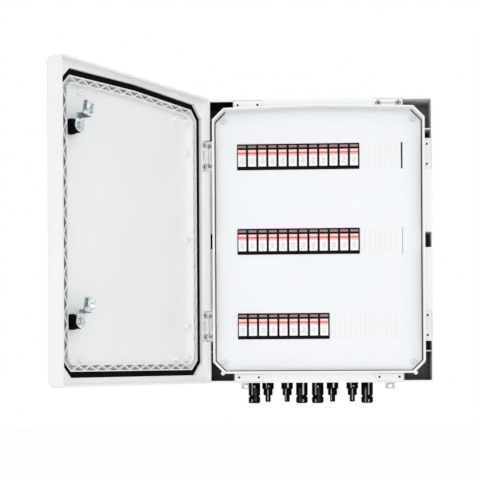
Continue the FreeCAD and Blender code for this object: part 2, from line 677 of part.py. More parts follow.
def make_hinge(word, level):
    """Frame leaf and door leaf of one hinge, drawn closed, and its pin."""
    middle = level * cell.fitting_height
    barrel = cell.hinge_barrel / 2
    half = cell.pad_length / 2 - JOIN
    seat = cell.case_depth - cell.pad_sink
    half_middle = cell.hinge_middle / 2
    leaf_right = -lip_x - cell.leaf_lip_gap
    leaf_left = -half_width + cell.pad_edge + PLAY
    frame_plate = box(f"{word}_frame_plate", leaf_left, -seat - cell.frame_leaf_thick, middle - half,
                      leaf_right - leaf_left, cell.frame_leaf_thick, 2 * half)
    frame_web = box(f"{word}_frame_web", hinge_x - 1, -hinge_forward, middle - half_middle,
                    cell.hinge_web, hinge_forward - seat - 1, 2 * half_middle)
    frame_barrel = cylinder(f"{word}_frame_barrel", barrel, cell.hinge_middle, hinge_x,
                            -hinge_forward, middle - half_middle)
    bore = cylinder(f"{word}_frame_bore", cell.hinge_pin / 2 + cell.pin_play, cell.pad_length, hinge_x,
                    -hinge_forward, middle - cell.pad_length / 2)
    holes = [cylinder(f"{word}_frame_hole{step}", cell.pad_hole / 2 + PLAY, 3 * cell.frame_leaf_thick,
                      -pad_x, -seat - 2 * cell.frame_leaf_thick, middle + step * half_pitch, vec(0, 1, 0))
             for step in (1, -1)]
    slots = []
    for step in (1, -1):
        start = middle + step * half_pitch - cell.hinge_slot_length / 2
        slots.append(box(f"{word}_frame_slot{step}", cell.hinge_slot_place - half_width,
                         -seat - cell.frame_leaf_thick - 1, start, cell.hinge_slot,
                         cell.frame_leaf_thick, cell.hinge_slot_length))
    slots.append(box(f"{word}_frame_groove", leaf_right - 2 * cell.hinge_groove,
                     -seat - cell.frame_leaf_thick - 1, middle - half, cell.hinge_groove,
                     cell.hinge_groove + 1, 2 * half))
    whole = fuse(f"{word}_frame_whole", [frame_plate, frame_web, frame_barrel])
    frame_leaf = cut(f"hinge_frame_leaf_{word}", whole, [bore] + holes + slots)
    plate_right = gasket_outer - lip_x - cell.channel_wall - cell.leaf_wall_gap
    plate_left = -half_width + cell.leaf_side_gap
    low = half_middle + cell.hinge_slack
    door_plate = box(f"{word}_door_plate", plate_left, -leaf_seat, middle - half,
                     plate_right - plate_left, cell.door_leaf_thick, 2 * half)
    parts = [door_plate]
    for step, name in ((1, "high"), (-1, "low")):
        start = middle + low if step > 0 else middle - low - cell.hinge_outer
        parts.append(cylinder(f"{word}_door_barrel_{name}", barrel, cell.hinge_outer, hinge_x,
                              -hinge_forward, start))
        parts.append(box(f"{word}_door_web_{name}", hinge_x - 2, 1 - leaf_seat, start, barrel + 2,
                         leaf_seat - 1 - hinge_forward, cell.hinge_outer))
    door_bore = cylinder(f"{word}_door_bore", cell.hinge_pin / 2 + cell.pin_play, cell.pad_length, hinge_x,
                         -hinge_forward, middle - cell.pad_length / 2)
    door_holes = [cylinder(f"{word}_door_hole{step}", cell.pad_hole / 2 + PLAY, 3 * cell.door_leaf_thick,
                           -half_width + cell.door_leaf_screw_inset, -leaf_seat - cell.door_leaf_thick,
                           middle + step * cell.door_leaf_screw_pitch / 2, vec(0, 1, 0))
                  for step in (1, -1)]
    door_leaf = cut(f"hinge_door_leaf_{word}", fuse(f"{word}_door_whole", parts), [door_bore] + door_holes)
    swing(door_leaf)
    pin_half = half_middle + cell.hinge_slack + cell.hinge_outer
    pin = cylinder(f"{word}_pin", cell.hinge_pin / 2, pin_half * 2, hinge_x, -hinge_forward,
                   middle - pin_half)
    return frame_leaf, door_leaf, pin


def screws(label, places, head, head_thick, shank, shank_length, seat, to_wall=True, draw=draw_circles):
    """Screws seated on a forward plane, driven towards the wall or away from it."""
    body = new_body(label)
    shanks = new_sketch(body, f"{label}_shanks", seat)
    draw_circles(shanks, places, shank)
    pad(body, shanks, shank_length, backward=to_wall)
    heads = new_sketch(body, f"{label}_heads", seat)
    draw(heads, places, head)
    pad(body, heads, head_thick, backward=not to_wall)
    return body


def make_lock_parts(word, level):
    """Housing with its nut, spindle, cam and cam screw of one lock, drawn about its own axis."""
    housing = new_body(f"lock_housing_{word}")
    tube = new_sketch(housing, f"{word}_tube", cell.lock_end)
    draw_circles(tube, [(0, 0)], cell.lock_body)
    pad(housing, tube, door_front - cell.lock_end)
    head = new_sketch(housing, f"{word}_head", door_front)
    draw_circles(head, [(0, 0)], cell.lock_head)
    pad(housing, head, cell.lock_head_thick)
    bore = new_sketch(housing, f"{word}_bore", cell.lock_end)
    draw_circles(bore, [(0, 0)], cell.spindle + 0.4)
    pocket(housing, bore, door_front + cell.lock_head_thick - cell.lock_end)
    nut = new_body(f"lock_nut_{word}")
    nut_outer = new_sketch(nut, f"{word}_nut_outer", door_floor - cell.lock_nut_thick)
    draw_circles(nut_outer, [(0, 0)], cell.lock_nut)
    pad(nut, nut_outer, cell.lock_nut_thick)
    nut_bore = new_sketch(nut, f"{word}_nut_bore", door_floor - cell.lock_nut_thick)
    draw_circles(nut_bore, [(0, 0)], cell.lock_body + THREAD)
    pocket(nut, nut_bore, cell.lock_nut_thick)
    spindle = new_body(f"lock_spindle_{word}")
    plug = new_sketch(spindle, f"{word}_plug", cell.lock_end)
    draw_circles(plug, [(0, 0)], cell.spindle)
    pad(spindle, plug, door_front + cell.lock_head_thick - cell.lock_end - 0.5)
    square = new_sketch(spindle, f"{word}_square", cell.lock_end)
    half = cell.spindle_square / 2
    draw_rectangle(square, -half, -half, half, half)
    pad(spindle, square, cell.cam_thick, backward=True)
    key = new_sketch(spindle, f"{word}_key", door_front + cell.lock_head_thick - 0.5)
    half_key = cell.key_slot / 2
    draw_rectangle(key, -half_key, -1, half_key, 1)
    pocket(spindle, key, cell.key_slot, forward=False)
    tapped = new_sketch(spindle, f"{word}_tapped", cell.lock_end - cell.cam_thick)
    draw_circles(tapped, [(0, 0)], cell.cam_screw_shank)
    pocket(spindle, tapped, cell.cam_screw_length)
    cam = make_cam(word)
    screw = screws(f"cam_screw_{word}", [(0, 0)], cell.cam_screw_head, cell.cam_screw_thick,
                   cell.cam_screw_shank, cell.cam_screw_length, cell.lock_end - cell.cam_thick,
                   to_wall=False)
    return housing, nut, spindle, cam, screw


def make_cam(word):
    """Cranked steel tongue: a hub on the spindle, a riser, and the folded arm that hooks the flange."""
    body = new_body(f"lock_cam_{word}")
    low = flange_back - cell.cam_flange_gap - cell.cam_thick
    hub_back = cell.lock_end - cell.cam_thick
    half = cell.cam_width / 2
    hub = new_sketch(body, f"{word}_cam_hub", hub_back)
    draw_circles(hub, [(0, 0)], cell.cam_hub)
    pad(body, hub, cell.cam_thick)
    riser = new_sketch(body, f"{word}_cam_riser", low)
    draw_rectangle(riser, cell.cam_riser_place, -half, cell.cam_riser_place + cell.cam_thick, half)
    pad(body, riser, cell.lock_end - low)
    neck = new_sketch(body, f"{word}_cam_neck", hub_back)
    draw_rectangle(neck, 0, -half, cell.cam_riser_place + cell.cam_thick, half)
    pad(body, neck, cell.cam_thick)
    arm = new_sketch(body, f"{word}_cam_arm", low)
    taper = cell.cam_tip_taper
    shoulder = cell.cam_reach - cell.cam_tip_point
    draw_polygon(arm, [(cell.cam_riser_place, -half), (shoulder - taper, -half),
                       (shoulder, taper - half), (cell.cam_reach, 0), (shoulder, half - taper),
                       (shoulder - taper, half), (cell.cam_riser_place, half)])
    pad(body, arm, cell.cam_thick)
    folds = new_sketch(body, f"{word}_cam_folds", low)
    fold_end = shoulder - taper
    draw_rectangle(folds, cell.cam_fold_start, half - cell.cam_thick / 2, fold_end, half)
    draw_rectangle(folds, cell.cam_fold_start, -half, fold_end, cell.cam_thick / 2 - half)
    pad(body, folds, cell.cam_fold, backward=True)
    square = new_sketch(body, f"{word}_cam_square", hub_back)
    half_square = cell.spindle_square / 2 + 0.05
    draw_rectangle(square, -half_square, -half_square, half_square, half_square)
    pocket(body, square, cell.cam_thick)
    return body


def make_front_plate():
    body = new_body("front_plate")
    back = cell.case_depth - cell.plate_sink - cell.plate_thick
    sheet_outline = new_sketch(body, "plate_outline", back)
    draw_polygon(sheet_outline, lip_outline(cell.lip_thick + cell.plate_gap))
    pad(body, sheet_outline, cell.plate_thick)
    windows = new_sketch(body, "plate_windows", back)
    for word, step, count in ROWS:
        middle = step * cell.row_pitch
        draw_rectangle(windows, -cell.window_left, middle - cell.window_height / 2,
                       cell.window_width - cell.window_left, middle + cell.window_height / 2)
    pocket(body, windows, cell.plate_thick)
    holes = new_sketch(body, "plate_holes", back)
    draw_circles(holes, plate_screw_places(), cell.plate_screw_shank + 0.6)
    pocket(body, holes, cell.plate_thick)
    return body


def plate_screw_places():
    inset = cell.lip_thick + cell.plate_gap + cell.plate_screw_inset
    return corners(lip_x - inset, lip_z - inset)


def pillars(label, places, width, start, end, bore, depth):
    """Square pillars with a screw hole in the front end."""
    body = new_body(label)
    outline = new_sketch(body, f"{label}_outline", start)
    for x, z in places:
        draw_rectangle(outline, x - width / 2, z - width / 2, x + width / 2, z + width / 2)
    pad(body, outline, end - start)
    holes = new_sketch(body, f"{label}_holes", end)
    draw_circles(holes, places, bore)
    pocket(body, holes, depth, forward=False)
    return body


rail_back = cell.rail_seat - cell.rail_depth
upright_back = rail_back - cell.upright_depth


def make_upright(word, side):
    """Steel channel, open towards the wall, that carries the rails."""
    body = new_body(f"rail_upright_{word}")
    place(body, side * cell.upright_place, as_size(0), as_size(0))
    half = cell.upright_width / 2
    inner = half - cell.upright_thick
    tall = cell.upright_length / 2
    outline = new_sketch(body, f"{word}_channel", upright_back)
    draw_rectangle(outline, -half, -tall, half, tall)
    pad(body, outline, cell.upright_depth)
    hollow = new_sketch(body, f"{word}_hollow", upright_back)
    draw_rectangle(hollow, -inner, -tall - 1, inner, tall + 1)
    pocket(body, hollow, cell.upright_depth - cell.upright_thick)
    holes = new_sketch(body, f"{word}_upright_holes", upright_back)
    levels = [step * cell.row_pitch for row_word, step, count in ROWS]
    draw_circles(holes, [(0, z) for z in levels], cell.frame_screw_shank + 0.4)
    draw_circles(holes, [(0, cell.spacer_place), (0, -cell.spacer_place)], cell.frame_screw_shank + 0.4)
    pocket(body, holes, cell.upright_depth)
    return body


def make_rail(word, step):
    """Top-hat rail: the section is drawn in the YZ plane and runs along X."""
    body = new_body(f"din_rail_{word}")
    section = new_sketch(body, f"{word}_section", -cell.rail_length / 2, "YZ_Plane")
    lip = cell.rail_height / 2
    web = cell.rail_web / 2
    thick = cell.rail_thick
    front = -cell.rail_seat
    back = -rail_back
    middle = step * cell.row_pitch
    outline = [(front, lip), (front, web - thick), (back - thick, web - thick),
               (back - thick, thick - web), (front, thick - web), (front, -lip),
               (front + thick, -lip), (front + thick, -web), (back, -web), (back, web),
               (front + thick, web), (front + thick, lip)]
    draw_polygon(section, [(y, middle + z) for y, z in outline])
    pad(body, section, cell.rail_length)
    slots = new_sketch(body, f"{word}_rail_holes", rail_back - 1)
    draw_circles(slots, [(cell.upright_place, middle), (-cell.upright_place, middle)],
                 cell.frame_screw_shank + 0.6)
    pocket(body, slots, 3)
    return body


def make_arrester(word, step, index):
    """Three-pole base: rail feet, shoulders for the terminals, and the nose with its slot."""
    body = new_body(f"arrester_base_{word}_{index + 1}")
    width = 3 * cell.module
    left = -cell.window_left + index * width + cell.module_slack / 2
    middle = step * cell.row_pitch
    profile = new_sketch(body, f"{word}{index}_profile", left, "YZ_Plane")
    tall = cell.arrester_height / 2
    nose = cell.arrester_nose / 2
    hook = cell.rail_height / 2
    claw = hook - cell.foot_reach
    gap = cell.rail_thick + 0.3
    shoulder = cell.arrester_shoulder
    front = cell.arrester_front
    deep = front - cell.slot_depth
    foot = -cell.foot_depth
    lower = [(0, -hook - 0.3), (-gap, -hook - 0.3), (-gap, -claw), (foot, -claw), (foot, -tall),
             (shoulder, -tall), (shoulder, -nose), (front, -nose), (front, -cell.slot_bottom),
             (deep, -cell.slot_bottom)]
    upper = [(deep, cell.slot_top), (front, cell.slot_top), (front, nose), (shoulder, nose),
             (shoulder, tall), (foot, tall), (foot, claw), (-gap, claw), (-gap, hook + 0.3),
             (0, hook + 0.3)]
    outline = [(-cell.rail_seat - forward, middle + z) for forward, z in lower + upper]
    draw_polygon(profile, outline)
    pad(body, profile, width - cell.module_slack)
    return body


def make_cartridges(word, step, count):
    """Plug-in arrester cartridges of one row, side by side in the slots of their bases."""
    body = new_body(f"cartridges_{word}")
    middle = step * cell.row_pitch
    deep = cell.rail_seat + cell.arrester_front - cell.slot_depth
    blocks = new_sketch(body, f"{word}_cartridge_blocks", deep)
    for index in range(3 * count):
        left = -cell.window_left + index * cell.module + cell.cartridge_slack
        draw_rectangle(blocks, left, middle - cell.slot_bottom + cell.cartridge_slack,
                       left + cell.module - 2 * cell.cartridge_slack,
                       middle + cell.slot_top - cell.cartridge_slack)
    pad(body, blocks, cell.slot_depth + cell.cartridge_proud)
    return body


def make_strip(word, step, count):
    """White blanking strip clipped into the rest of a window, scored to break off in halves."""
    body = new_body(f"blanking_strip_{word}")
    start = 3 * count * cell.module - cell.window_left + cell.strip_slack
    end = cell.window_width - cell.window_left - cell.strip_end_gap
    middle = step * cell.row_pitch
    face = cell.case_depth - cell.plate_sink
    half = cell.window_height / 2
    plate = new_sketch(body, f"{word}_strip", face - cell.plate_thick - cell.strip_flange)
    draw_rectangle(plate, start, middle - half + cell.strip_slack, end, middle + half - cell.strip_slack)
    pad(body, plate, cell.strip_flange + cell.plate_thick)
    flange = new_sketch(body, f"{word}_strip_flange", face - cell.plate_thick)
    draw_rectangle(flange, start, middle - half - 3, end, middle + half + 3)
    pad(body, flange, cell.strip_flange, backward=True)
    scores = new_sketch(body, f"{word}_strip_scores", face)
    number = int((end.value - start.value) / cell.strip_score.value)
    for index in range(1, number + 1):
        x = start + index * cell.strip_score
        if x.value + 1 < end.value:
            draw_rectangle(scores, x, middle - half + 1, x + cell.strip_score_width, middle + half - 1)
    pocket(body, scores, cell.strip_score_depth, forward=False)
    return body


def make_connector(index, x, kind):
    """Panel connector as one turned body: threaded stem, flange, and socket or plug nose."""
    body = new_body(f"connector_{index + 1}")
    under = -half_height - cell.seal_thick
    place(body, as_size(x), -cell.connector_forward, under)
    profile = new_sketch(body, f"connector{index}_profile")
    stem = cell.connector_stem / 2
    flange = cell.connector_flange / 2
    top = cell.stem_top + cell.seal_thick + cell.case_wall
    outline = [(0, top), (stem, top), (stem, 0), (flange, 0)]
    if kind == "socket":
        bottom = -cell.socket_reach
        bore = cell.socket_bore / 2
        roof = bottom + cell.socket_bore_depth
        neck = flange - cell.socket_waist_sink
        half = cell.socket_waist_height / 2
        slope = cell.socket_slope
        outline += [(flange, half + slope - cell.socket_waist), (neck, half - cell.socket_waist),
                    (neck, -half - cell.socket_waist), (flange, -half - slope - cell.socket_waist),
                    (flange, bottom + cell.socket_tip), (flange - cell.socket_tip, bottom)]
    else:
        bottom = -cell.plug_reach
        bore = cell.plug_bore / 2
        roof = bottom + cell.plug_bore_depth
        sleeve = cell.plug_sleeve / 2
        nose = cell.plug_nose / 2
        slope = cell.plug_slope
        outline += [(flange, -cell.plug_sleeve_start), (sleeve, -slope - cell.plug_sleeve_start),
                    (sleeve, -cell.plug_sleeve_end), (nose, -slope - cell.plug_sleeve_end),
                    (nose, bottom + slope), (nose - slope / 2, bottom)]
    outline += [(bore, bottom), (bore, roof), (0, roof)]
    draw_polygon(profile, outline)
    turned = body.newObject("PartDesign::Revolution", f"connector{index}_turned")
    turned.Profile = profile
    turned.ReferenceAxis = (profile, ["V_Axis"])
    turned.Angle = 360
    doc.recompute()
    grips_outline = new_sketch(body, f"connector{index}_grips", -cell.grip_start, "XY_Plane")
    half_grip = cell.grip_width / 2
    draw_rectangle(grips_outline, flange - cell.grip_depth, -half_grip, flange + 1, half_grip)
    grip_length = cell.socket_grip_length if kind == "socket" else cell.plug_grip_length
    cutter = pocket(body, grips_outline, grip_length, forward=False)
    grips = body.newObject("PartDesign::PolarPattern", f"connector{index}_ring")
    grips.Originals = [cutter]
    grips.Axis = (profile, ["V_Axis"])
    grips.Angle = 360
    grips.Occurrences = GRIPS
    body.Tip = grips
    return body


def ring_at_connectors(label, draw, outer, inner, low, thick):
    """One ring or nut for each connector, on its stem."""
    body = new_body(label)
    places = [(x, -cell.connector_forward) for x, kind in CONNECTORS]
    ring = new_sketch(body, f"{label}_rings", low, "XY_Plane")
    draw(ring, places, outer)
    draw_circles(ring, places, inner)
    pad(body, ring, thick)
    return body


def make_lugs():
    """Four brackets screwed under and over the case, with the holes that take the wall screws."""
    lugs = []
    bolts = []
    for side in (1, -1):
        for level in (1, -1):
            name = f"lug_{'right' if side > 0 else 'left'}_{'top' if level > 0 else 'bottom'}"
            middle = side * cell.lug_place
            half = cell.lug_width / 2
            edge = level * half_height
            low = edge if level > 0 else edge - cell.lug_reach
            foot_low = edge if level > 0 else edge - cell.lug_thick
            leg = box(f"{name}_leg", middle - half, -cell.lug_thick, low, cell.lug_width, cell.lug_thick,
                      cell.lug_reach)
            foot = box(f"{name}_foot", middle - half, -cell.lug_overlap, foot_low, cell.lug_width,
                       cell.lug_overlap, cell.lug_thick)
            hole = cylinder(f"{name}_hole", cell.lug_hole / 2, cell.lug_thick + 2, middle,
                            -1 - cell.lug_thick, edge + level * cell.lug_hole_out, vec(0, 1, 0))
            lugs.append(cut(name, fuse(f"{name}_whole", [leg, foot]), [hole]))
            start = edge + level * cell.lug_thick
            base = start if level > 0 else start - cell.frame_screw_thick
            bolts.append(cylinder(f"{name}_bolt", cell.lug_screw_head / 2, cell.frame_screw_thick, middle,
                                  -cell.lug_overlap * 0.65, base))
    return gather("wall_lugs", lugs), gather("lug_screws", bolts)


def make_earth_bar():
    body = new_body("earth_bar")
    half = cell.earth_length / 2
    middle = -cell.earth_drop
    bar = new_sketch(body, "earth_bar_block", cell.case_wall + cell.earth_standoff)
    draw_rectangle(bar, -half, middle - cell.earth_height / 2, half, middle + cell.earth_height / 2)
    pad(body, bar, cell.earth_thick)
    feet = new_sketch(body, "earth_bar_feet", cell.case_wall)
    draw_circles(feet, [(half - cell.earth_foot_inset, middle), (cell.earth_foot_inset - half, middle)],
                 cell.earth_foot)
    pad(body, feet, cell.earth_standoff + JOIN)
    holes = new_sketch(body, "earth_bar_holes", cell.case_wall + cell.earth_standoff)
    places = [(cell.earth_pitch * index, middle) for index in range(-3, 4)]
    draw_circles(holes, places, cell.earth_hole)
    pocket(body, holes, cell.earth_thick)
    return body


nodes = []


def keep(item):
    nodes.append(item)
    return item


keep(make_base())
door = keep(make_door())
gasket = keep(make_gasket())
for item in (door, gasket):
    swing(item)

pins = []
for word, level in (("upper", 1), ("lower", -1)):
    frame_leaf, door_leaf, pin = make_hinge(word, level)
    keep(frame_leaf)
    keep(door_leaf)
    pins.append(pin)
keep(gather("hinge_pins", pins))
left_holes = [(x, z) for x, z in side_pad_holes if x.value < 0]
keep(screws("hinge_frame_screws", left_holes, cell.hinge_screw_head, cell.hinge_screw_thick,
            cell.pad_hole, cell.pad_boss_depth, cell.case_depth - cell.pad_sink + cell.frame_leaf_thick))
right_top = [(x, z) for x, z in end_pad_holes if x.value > 0 and z.value > 0]
keep(screws("pad_screws", right_top, cell.pad_screw_head, cell.hinge_screw_thick, cell.pad_hole,
            cell.pad_screw_length, cell.case_depth - cell.pad_sink))
lock_nuts = []
for word, level in (("upper", 1), ("lower", -1)):
    hub = FreeCAD.Placement(vec(lock_x.value, 0, level * cell.fitting_height.value), FreeCAD.Rotation())
    turned = FreeCAD.Placement(hub.Base, FreeCAD.Rotation(vec(0, -1, 0), cell.cam_rest.value))
    housing, nut, spindle, cam, cam_screw = make_lock_parts(word, level)
    for item in (housing, spindle, cam, cam_screw):
        swing(keep(item), hub if item is housing else turned)
    swing(nut, hub)
    lock_nuts.append(nut)
keep(gather("lock_nuts", lock_nuts))
door_screws = keep(screws("hinge_door_screws", door_leaf_holes(), cell.hinge_screw_head,
                          cell.hinge_screw_thick, cell.pad_hole, cell.pad_boss_depth,
                          leaf_seat - cell.door_leaf_thick, to_wall=False))
swing(door_screws)

keep(make_front_plate())
plate_face = cell.case_depth - cell.plate_sink
plate_back = plate_face - cell.plate_thick
keep(screws("front_plate_screws", plate_screw_places(), cell.plate_screw_head, cell.plate_screw_thick,
            cell.plate_screw_shank, cell.plate_screw_length, plate_face))
keep(pillars("front_plate_posts", plate_screw_places(), cell.post_width, cell.case_wall, plate_back,
             cell.plate_screw_shank + PLAY, cell.post_bore_depth))
for word, side in (("left", -1), ("right", 1)):
    keep(make_upright(word, side))
spacer_places = corners(cell.upright_place, cell.spacer_place)
keep(pillars("frame_spacers", spacer_places, cell.spacer_width, cell.case_wall,
             rail_back - cell.upright_thick, cell.frame_screw_shank + THREAD, cell.post_bore_depth))
rail_places = [(side * cell.upright_place, step * cell.row_pitch)
               for side in (1, -1) for word, step, count in ROWS]
spacer_bolts = screws("spacer_bolts", spacer_places, cell.frame_screw_head, cell.frame_screw_thick,
                      cell.frame_screw_shank, cell.spacer_screw_length, rail_back, draw=draw_hexagons)
rail_bolts = screws("rail_bolts", rail_places, cell.frame_screw_head, cell.frame_screw_thick,
                    cell.frame_screw_shank, cell.rail_screw_length, rail_back + cell.rail_thick,
                    draw=draw_hexagons)
keep(gather("frame_screws", [spacer_bolts, rail_bolts]))
for word, step, count in ROWS:
    keep(make_rail(word, step))
    for index in range(count):
        keep(make_arrester(word, step, index))
    keep(make_cartridges(word, step, count))
    keep(make_strip(word, step, count))
for index, (x, kind) in enumerate(CONNECTORS):
    keep(make_connector(index, x, kind))
keep(ring_at_connectors("connector_seals", draw_circles, cell.seal_width, cell.connector_stem + THREAD,
                        -half_height - cell.seal_thick, cell.seal_thick))
keep(ring_at_connectors("connector_nuts", draw_hexagons, cell.nut_width, cell.connector_stem + THREAD,
                        cell.case_wall - half_height, cell.nut_thick))
for item in make_lugs():
    keep(item)
keep(make_earth_bar())

doc.recompute()
for item in doc.Objects:
    if "Invalid" in item.State or "Error" in item.State:
        raise RuntimeError(f"{item.Name} failed: {item.State}")
for item in nodes:
    if item.Shape.isNull() or not item.Shape.isValid():
        raise RuntimeError(f"{item.Label} has no valid shape")
    item.Shape.exportStep(f"parts/{item.Label}.step")
print(len(nodes), "nodes written")
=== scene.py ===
# %% [markdown]
# PV junction box, dressed for its picture.
# The construction of the box comes ready made: every moulding, hinge and screw is a fixed node of the frame.
# This lesson gives each of them its finish, some with painted shade in it, and adds thin pieces: label cards
# as a print shop prints them, and shining ribs, hairlines and screw marks, which are painted highlights and
# painted shade.
# All lengths are in metres, Z is up and the box faces -Y.

# %% Load the frame
import json
import math

import bmesh
import bpy
from mathutils import Matrix, Vector
from mathutils.bvhtree import BVHTree


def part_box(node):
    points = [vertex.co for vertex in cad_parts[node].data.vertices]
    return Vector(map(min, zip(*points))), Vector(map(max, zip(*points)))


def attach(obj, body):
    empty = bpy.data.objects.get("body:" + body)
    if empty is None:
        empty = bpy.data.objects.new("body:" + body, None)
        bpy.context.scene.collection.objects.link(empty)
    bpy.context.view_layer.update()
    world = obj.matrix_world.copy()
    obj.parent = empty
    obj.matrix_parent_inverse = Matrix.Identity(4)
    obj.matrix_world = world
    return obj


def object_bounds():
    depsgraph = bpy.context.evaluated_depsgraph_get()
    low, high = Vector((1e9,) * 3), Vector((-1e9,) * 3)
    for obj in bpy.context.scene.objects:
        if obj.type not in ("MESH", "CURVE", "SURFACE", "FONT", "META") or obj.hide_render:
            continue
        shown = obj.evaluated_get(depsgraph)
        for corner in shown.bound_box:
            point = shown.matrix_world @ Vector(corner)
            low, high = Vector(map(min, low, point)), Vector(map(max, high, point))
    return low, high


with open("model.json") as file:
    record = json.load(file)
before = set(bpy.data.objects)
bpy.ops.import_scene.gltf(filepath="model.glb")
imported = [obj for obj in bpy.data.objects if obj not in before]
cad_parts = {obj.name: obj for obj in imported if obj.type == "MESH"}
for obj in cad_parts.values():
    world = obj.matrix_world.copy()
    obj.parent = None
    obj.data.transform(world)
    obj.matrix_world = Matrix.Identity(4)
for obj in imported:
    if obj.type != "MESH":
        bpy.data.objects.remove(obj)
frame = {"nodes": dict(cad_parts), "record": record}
cad_low, cad_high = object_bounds()
nodes = frame["nodes"]
print(len(nodes), "nodes, from", tuple(round(v, 3) for v in cad_low), "to",
      tuple(round(v, 3) for v in cad_high))

# %% [markdown]
# A camera is easiest to match when its own numbers are kept apart from the scene. The
# photograph was taken from in front of the lower edge with a long lens: its upright lines
# stay upright, so the camera looks level, rolled by only a third of a degree, and the lens is
# shifted up to bring the box into view.

# %% Camera
MM = 0.001
CAMERA_PLACE = Vector((-26.7, -2400.4, -211.1)) * MM
CAMERA_YAW = math.radians(2.9)
CAMERA_ROLL = math.radians(-0.31)
SENSOR = 36.0
LENS = 94.46
SHIFT_UP = 0.2518
CLIP_END = 100.0

camera = bpy.data.objects.new("camera", bpy.data.cameras.new("camera"))
bpy.context.scene.collection.objects.link(camera)
camera.location = CAMERA_PLACE
turn = Matrix.Rotation(CAMERA_YAW, 3, "Z") @ Matrix.Rotation(math.pi / 2, 3, "X")
camera.rotation_euler = (turn @ Matrix.Rotation(CAMERA_ROLL, 3, "Z")).to_euler()
camera.data.sensor_width = SENSOR
camera.data.lens = LENS
camera.data.shift_y = SHIFT_UP
camera.data.clip_end = CLIP_END
bpy.context.scene.camera = camera
bpy.context.scene.view_settings.view_transform = "Standard"
print("lens", LENS, "mm, shifted up by", SHIFT_UP, "of the frame")

# %% [markdown]
# A studio for a white object begins with a world that is grey for light but white for the
# camera. Mirror-like surfaces see the white as well, otherwise zinc and gloss would look as
# if they stood in a grey room. The floor is almost white for the camera in the same way, and
# keeps a small share of its own surface, so that it takes the object's shadow.

# %% World
WORLD_LIGHT = 0.64
WORLD_TINT = (0.97, 0.985, 1.0)
WHITE = (1, 1, 1)


def seen_directly(tree):
    """A factor that is 1 for rays that show a background: camera, mirror and glass rays."""
    path = tree.nodes.new("ShaderNodeLightPath")
    first = tree.nodes.new("ShaderNodeMath")
    first.operation = "MAXIMUM"
    second = tree.nodes.new("ShaderNodeMath")
    second.operation = "MAXIMUM"
    tree.links.new(path.outputs["Is Camera Ray"], first.inputs[0])
    tree.links.new(path.outputs["Is Glossy Ray"], first.inputs[1])
    tree.links.new(first.outputs[0], second.inputs[0])
    tree.links.new(path.outputs["Is Transmission Ray"], second.inputs[1])
    return second.outputs[0]


def white_world():
    """A world that lights softly and looks white."""
    world = bpy.data.worlds.new("studio")
    bpy.context.scene.world = world
    world.use_nodes = True
    tree = world.node_tree
    tree.nodes.clear()
    light = tree.nodes.new("ShaderNodeBackground")
    light.inputs["Strength"].default_value = WORLD_LIGHT
    light.inputs["Color"].default_value = (*WORLD_TINT, 1)
    seen = tree.nodes.new("ShaderNodeBackground")
    seen.inputs["Strength"].default_value = 1.0
    seen.inputs["Color"].default_value = (*WHITE, 1)
    mix = tree.nodes.new("ShaderNodeMixShader")
    out = tree.nodes.new("ShaderNodeOutputWorld")
    tree.links.new(seen_directly(tree), mix.inputs[0])
    tree.links.new(light.outputs[0], mix.inputs[1])
    tree.links.new(seen.outputs[0], mix.inputs[2])
    tree.links.new(mix.outputs[0], out.inputs["Surface"])


white_world()
print("world lights at", WORLD_LIGHT)

# %% Floor
FLOOR_COLOUR = (0.9, 0.9, 0.9)
FLOOR_ROUGHNESS = 0.9
FLOOR_GLOW = 0.96
FLOOR_DROP = 0.42
FLOOR_SIZE = 14.0


def pale_floor():
    """A wide floor that looks almost white and takes a faint shadow."""
    data = bpy.data.meshes.new("floor")
    half = FLOOR_SIZE / 2
    low = cad_low.z - FLOOR_DROP
    corners = [(-half, -half, low), (half, -half, low), (half, half, low), (-half, half, low)]
    data.from_pydata(corners, [], [(0, 1, 2, 3)])
    floor = bpy.data.objects.new("floor", data)
    bpy.context.scene.collection.objects.link(floor)
    material = bpy.data.materials.new("floor_white")
    material.use_nodes = True
    tree = material.node_tree
    surface = tree.nodes["Principled BSDF"]
    surface.inputs["Base Color"].default_value = (*FLOOR_COLOUR, 1)
    surface.inputs["Roughness"].default_value = FLOOR_ROUGHNESS
    glow = tree.nodes.new("ShaderNodeEmission")
    glow.inputs["Strength"].default_value = 1.0
    both = tree.nodes.new("ShaderNodeMixShader")
    share = tree.nodes.new("ShaderNodeMath")
    share.operation = "MULTIPLY"
    share.inputs[1].default_value = FLOOR_GLOW
    tree.links.new(seen_directly(tree), share.inputs[0])
    tree.links.new(share.outputs[0], both.inputs[0])
    tree.links.new(surface.outputs[0], both.inputs[1])
    tree.links.new(glow.outputs[0], both.inputs[2])
    tree.links.new(both.outputs[0], tree.nodes["Material Output"].inputs["Surface"])
    data.materials.append(material)
    return floor


print("floor", round(pale_floor().data.vertices[0].co.z, 3), "m")

# %% [markdown]
# Five soft lamps: the key high on the right, a wide one in front that fills the deep box
# evenly, a weak one on the left, one above, and a low one that lights what faces down. One
# big lamp in front would be simpler, but it would leave the door and the connectors flat.

# %% Lamps
LAMPS = {
    # name: place, aimed at, width, height, watts
    "key": ((1.5, -2.4, 1.3), (0.0, -0.1, 0.0), 1.8, 1.8, 13.0),
    "front": ((-0.3, -3.2, -0.1), (0.0, -0.1, 0.0), 2.2, 2.2, 12.4),
    "fill": ((-1.9, -2.0, 0.4), (-0.1, -0.2, 0.0), 1.4, 2.0, 3.0),
    "top": ((0.1, -0.4, 2.0), (0.0, -0.2, 0.0), 1.6, 1.2, 6.0),
    "low": ((-0.2, -1.9, -0.58), (0.0, -0.2, 0.1), 1.8, 0.4, 5.0),
}


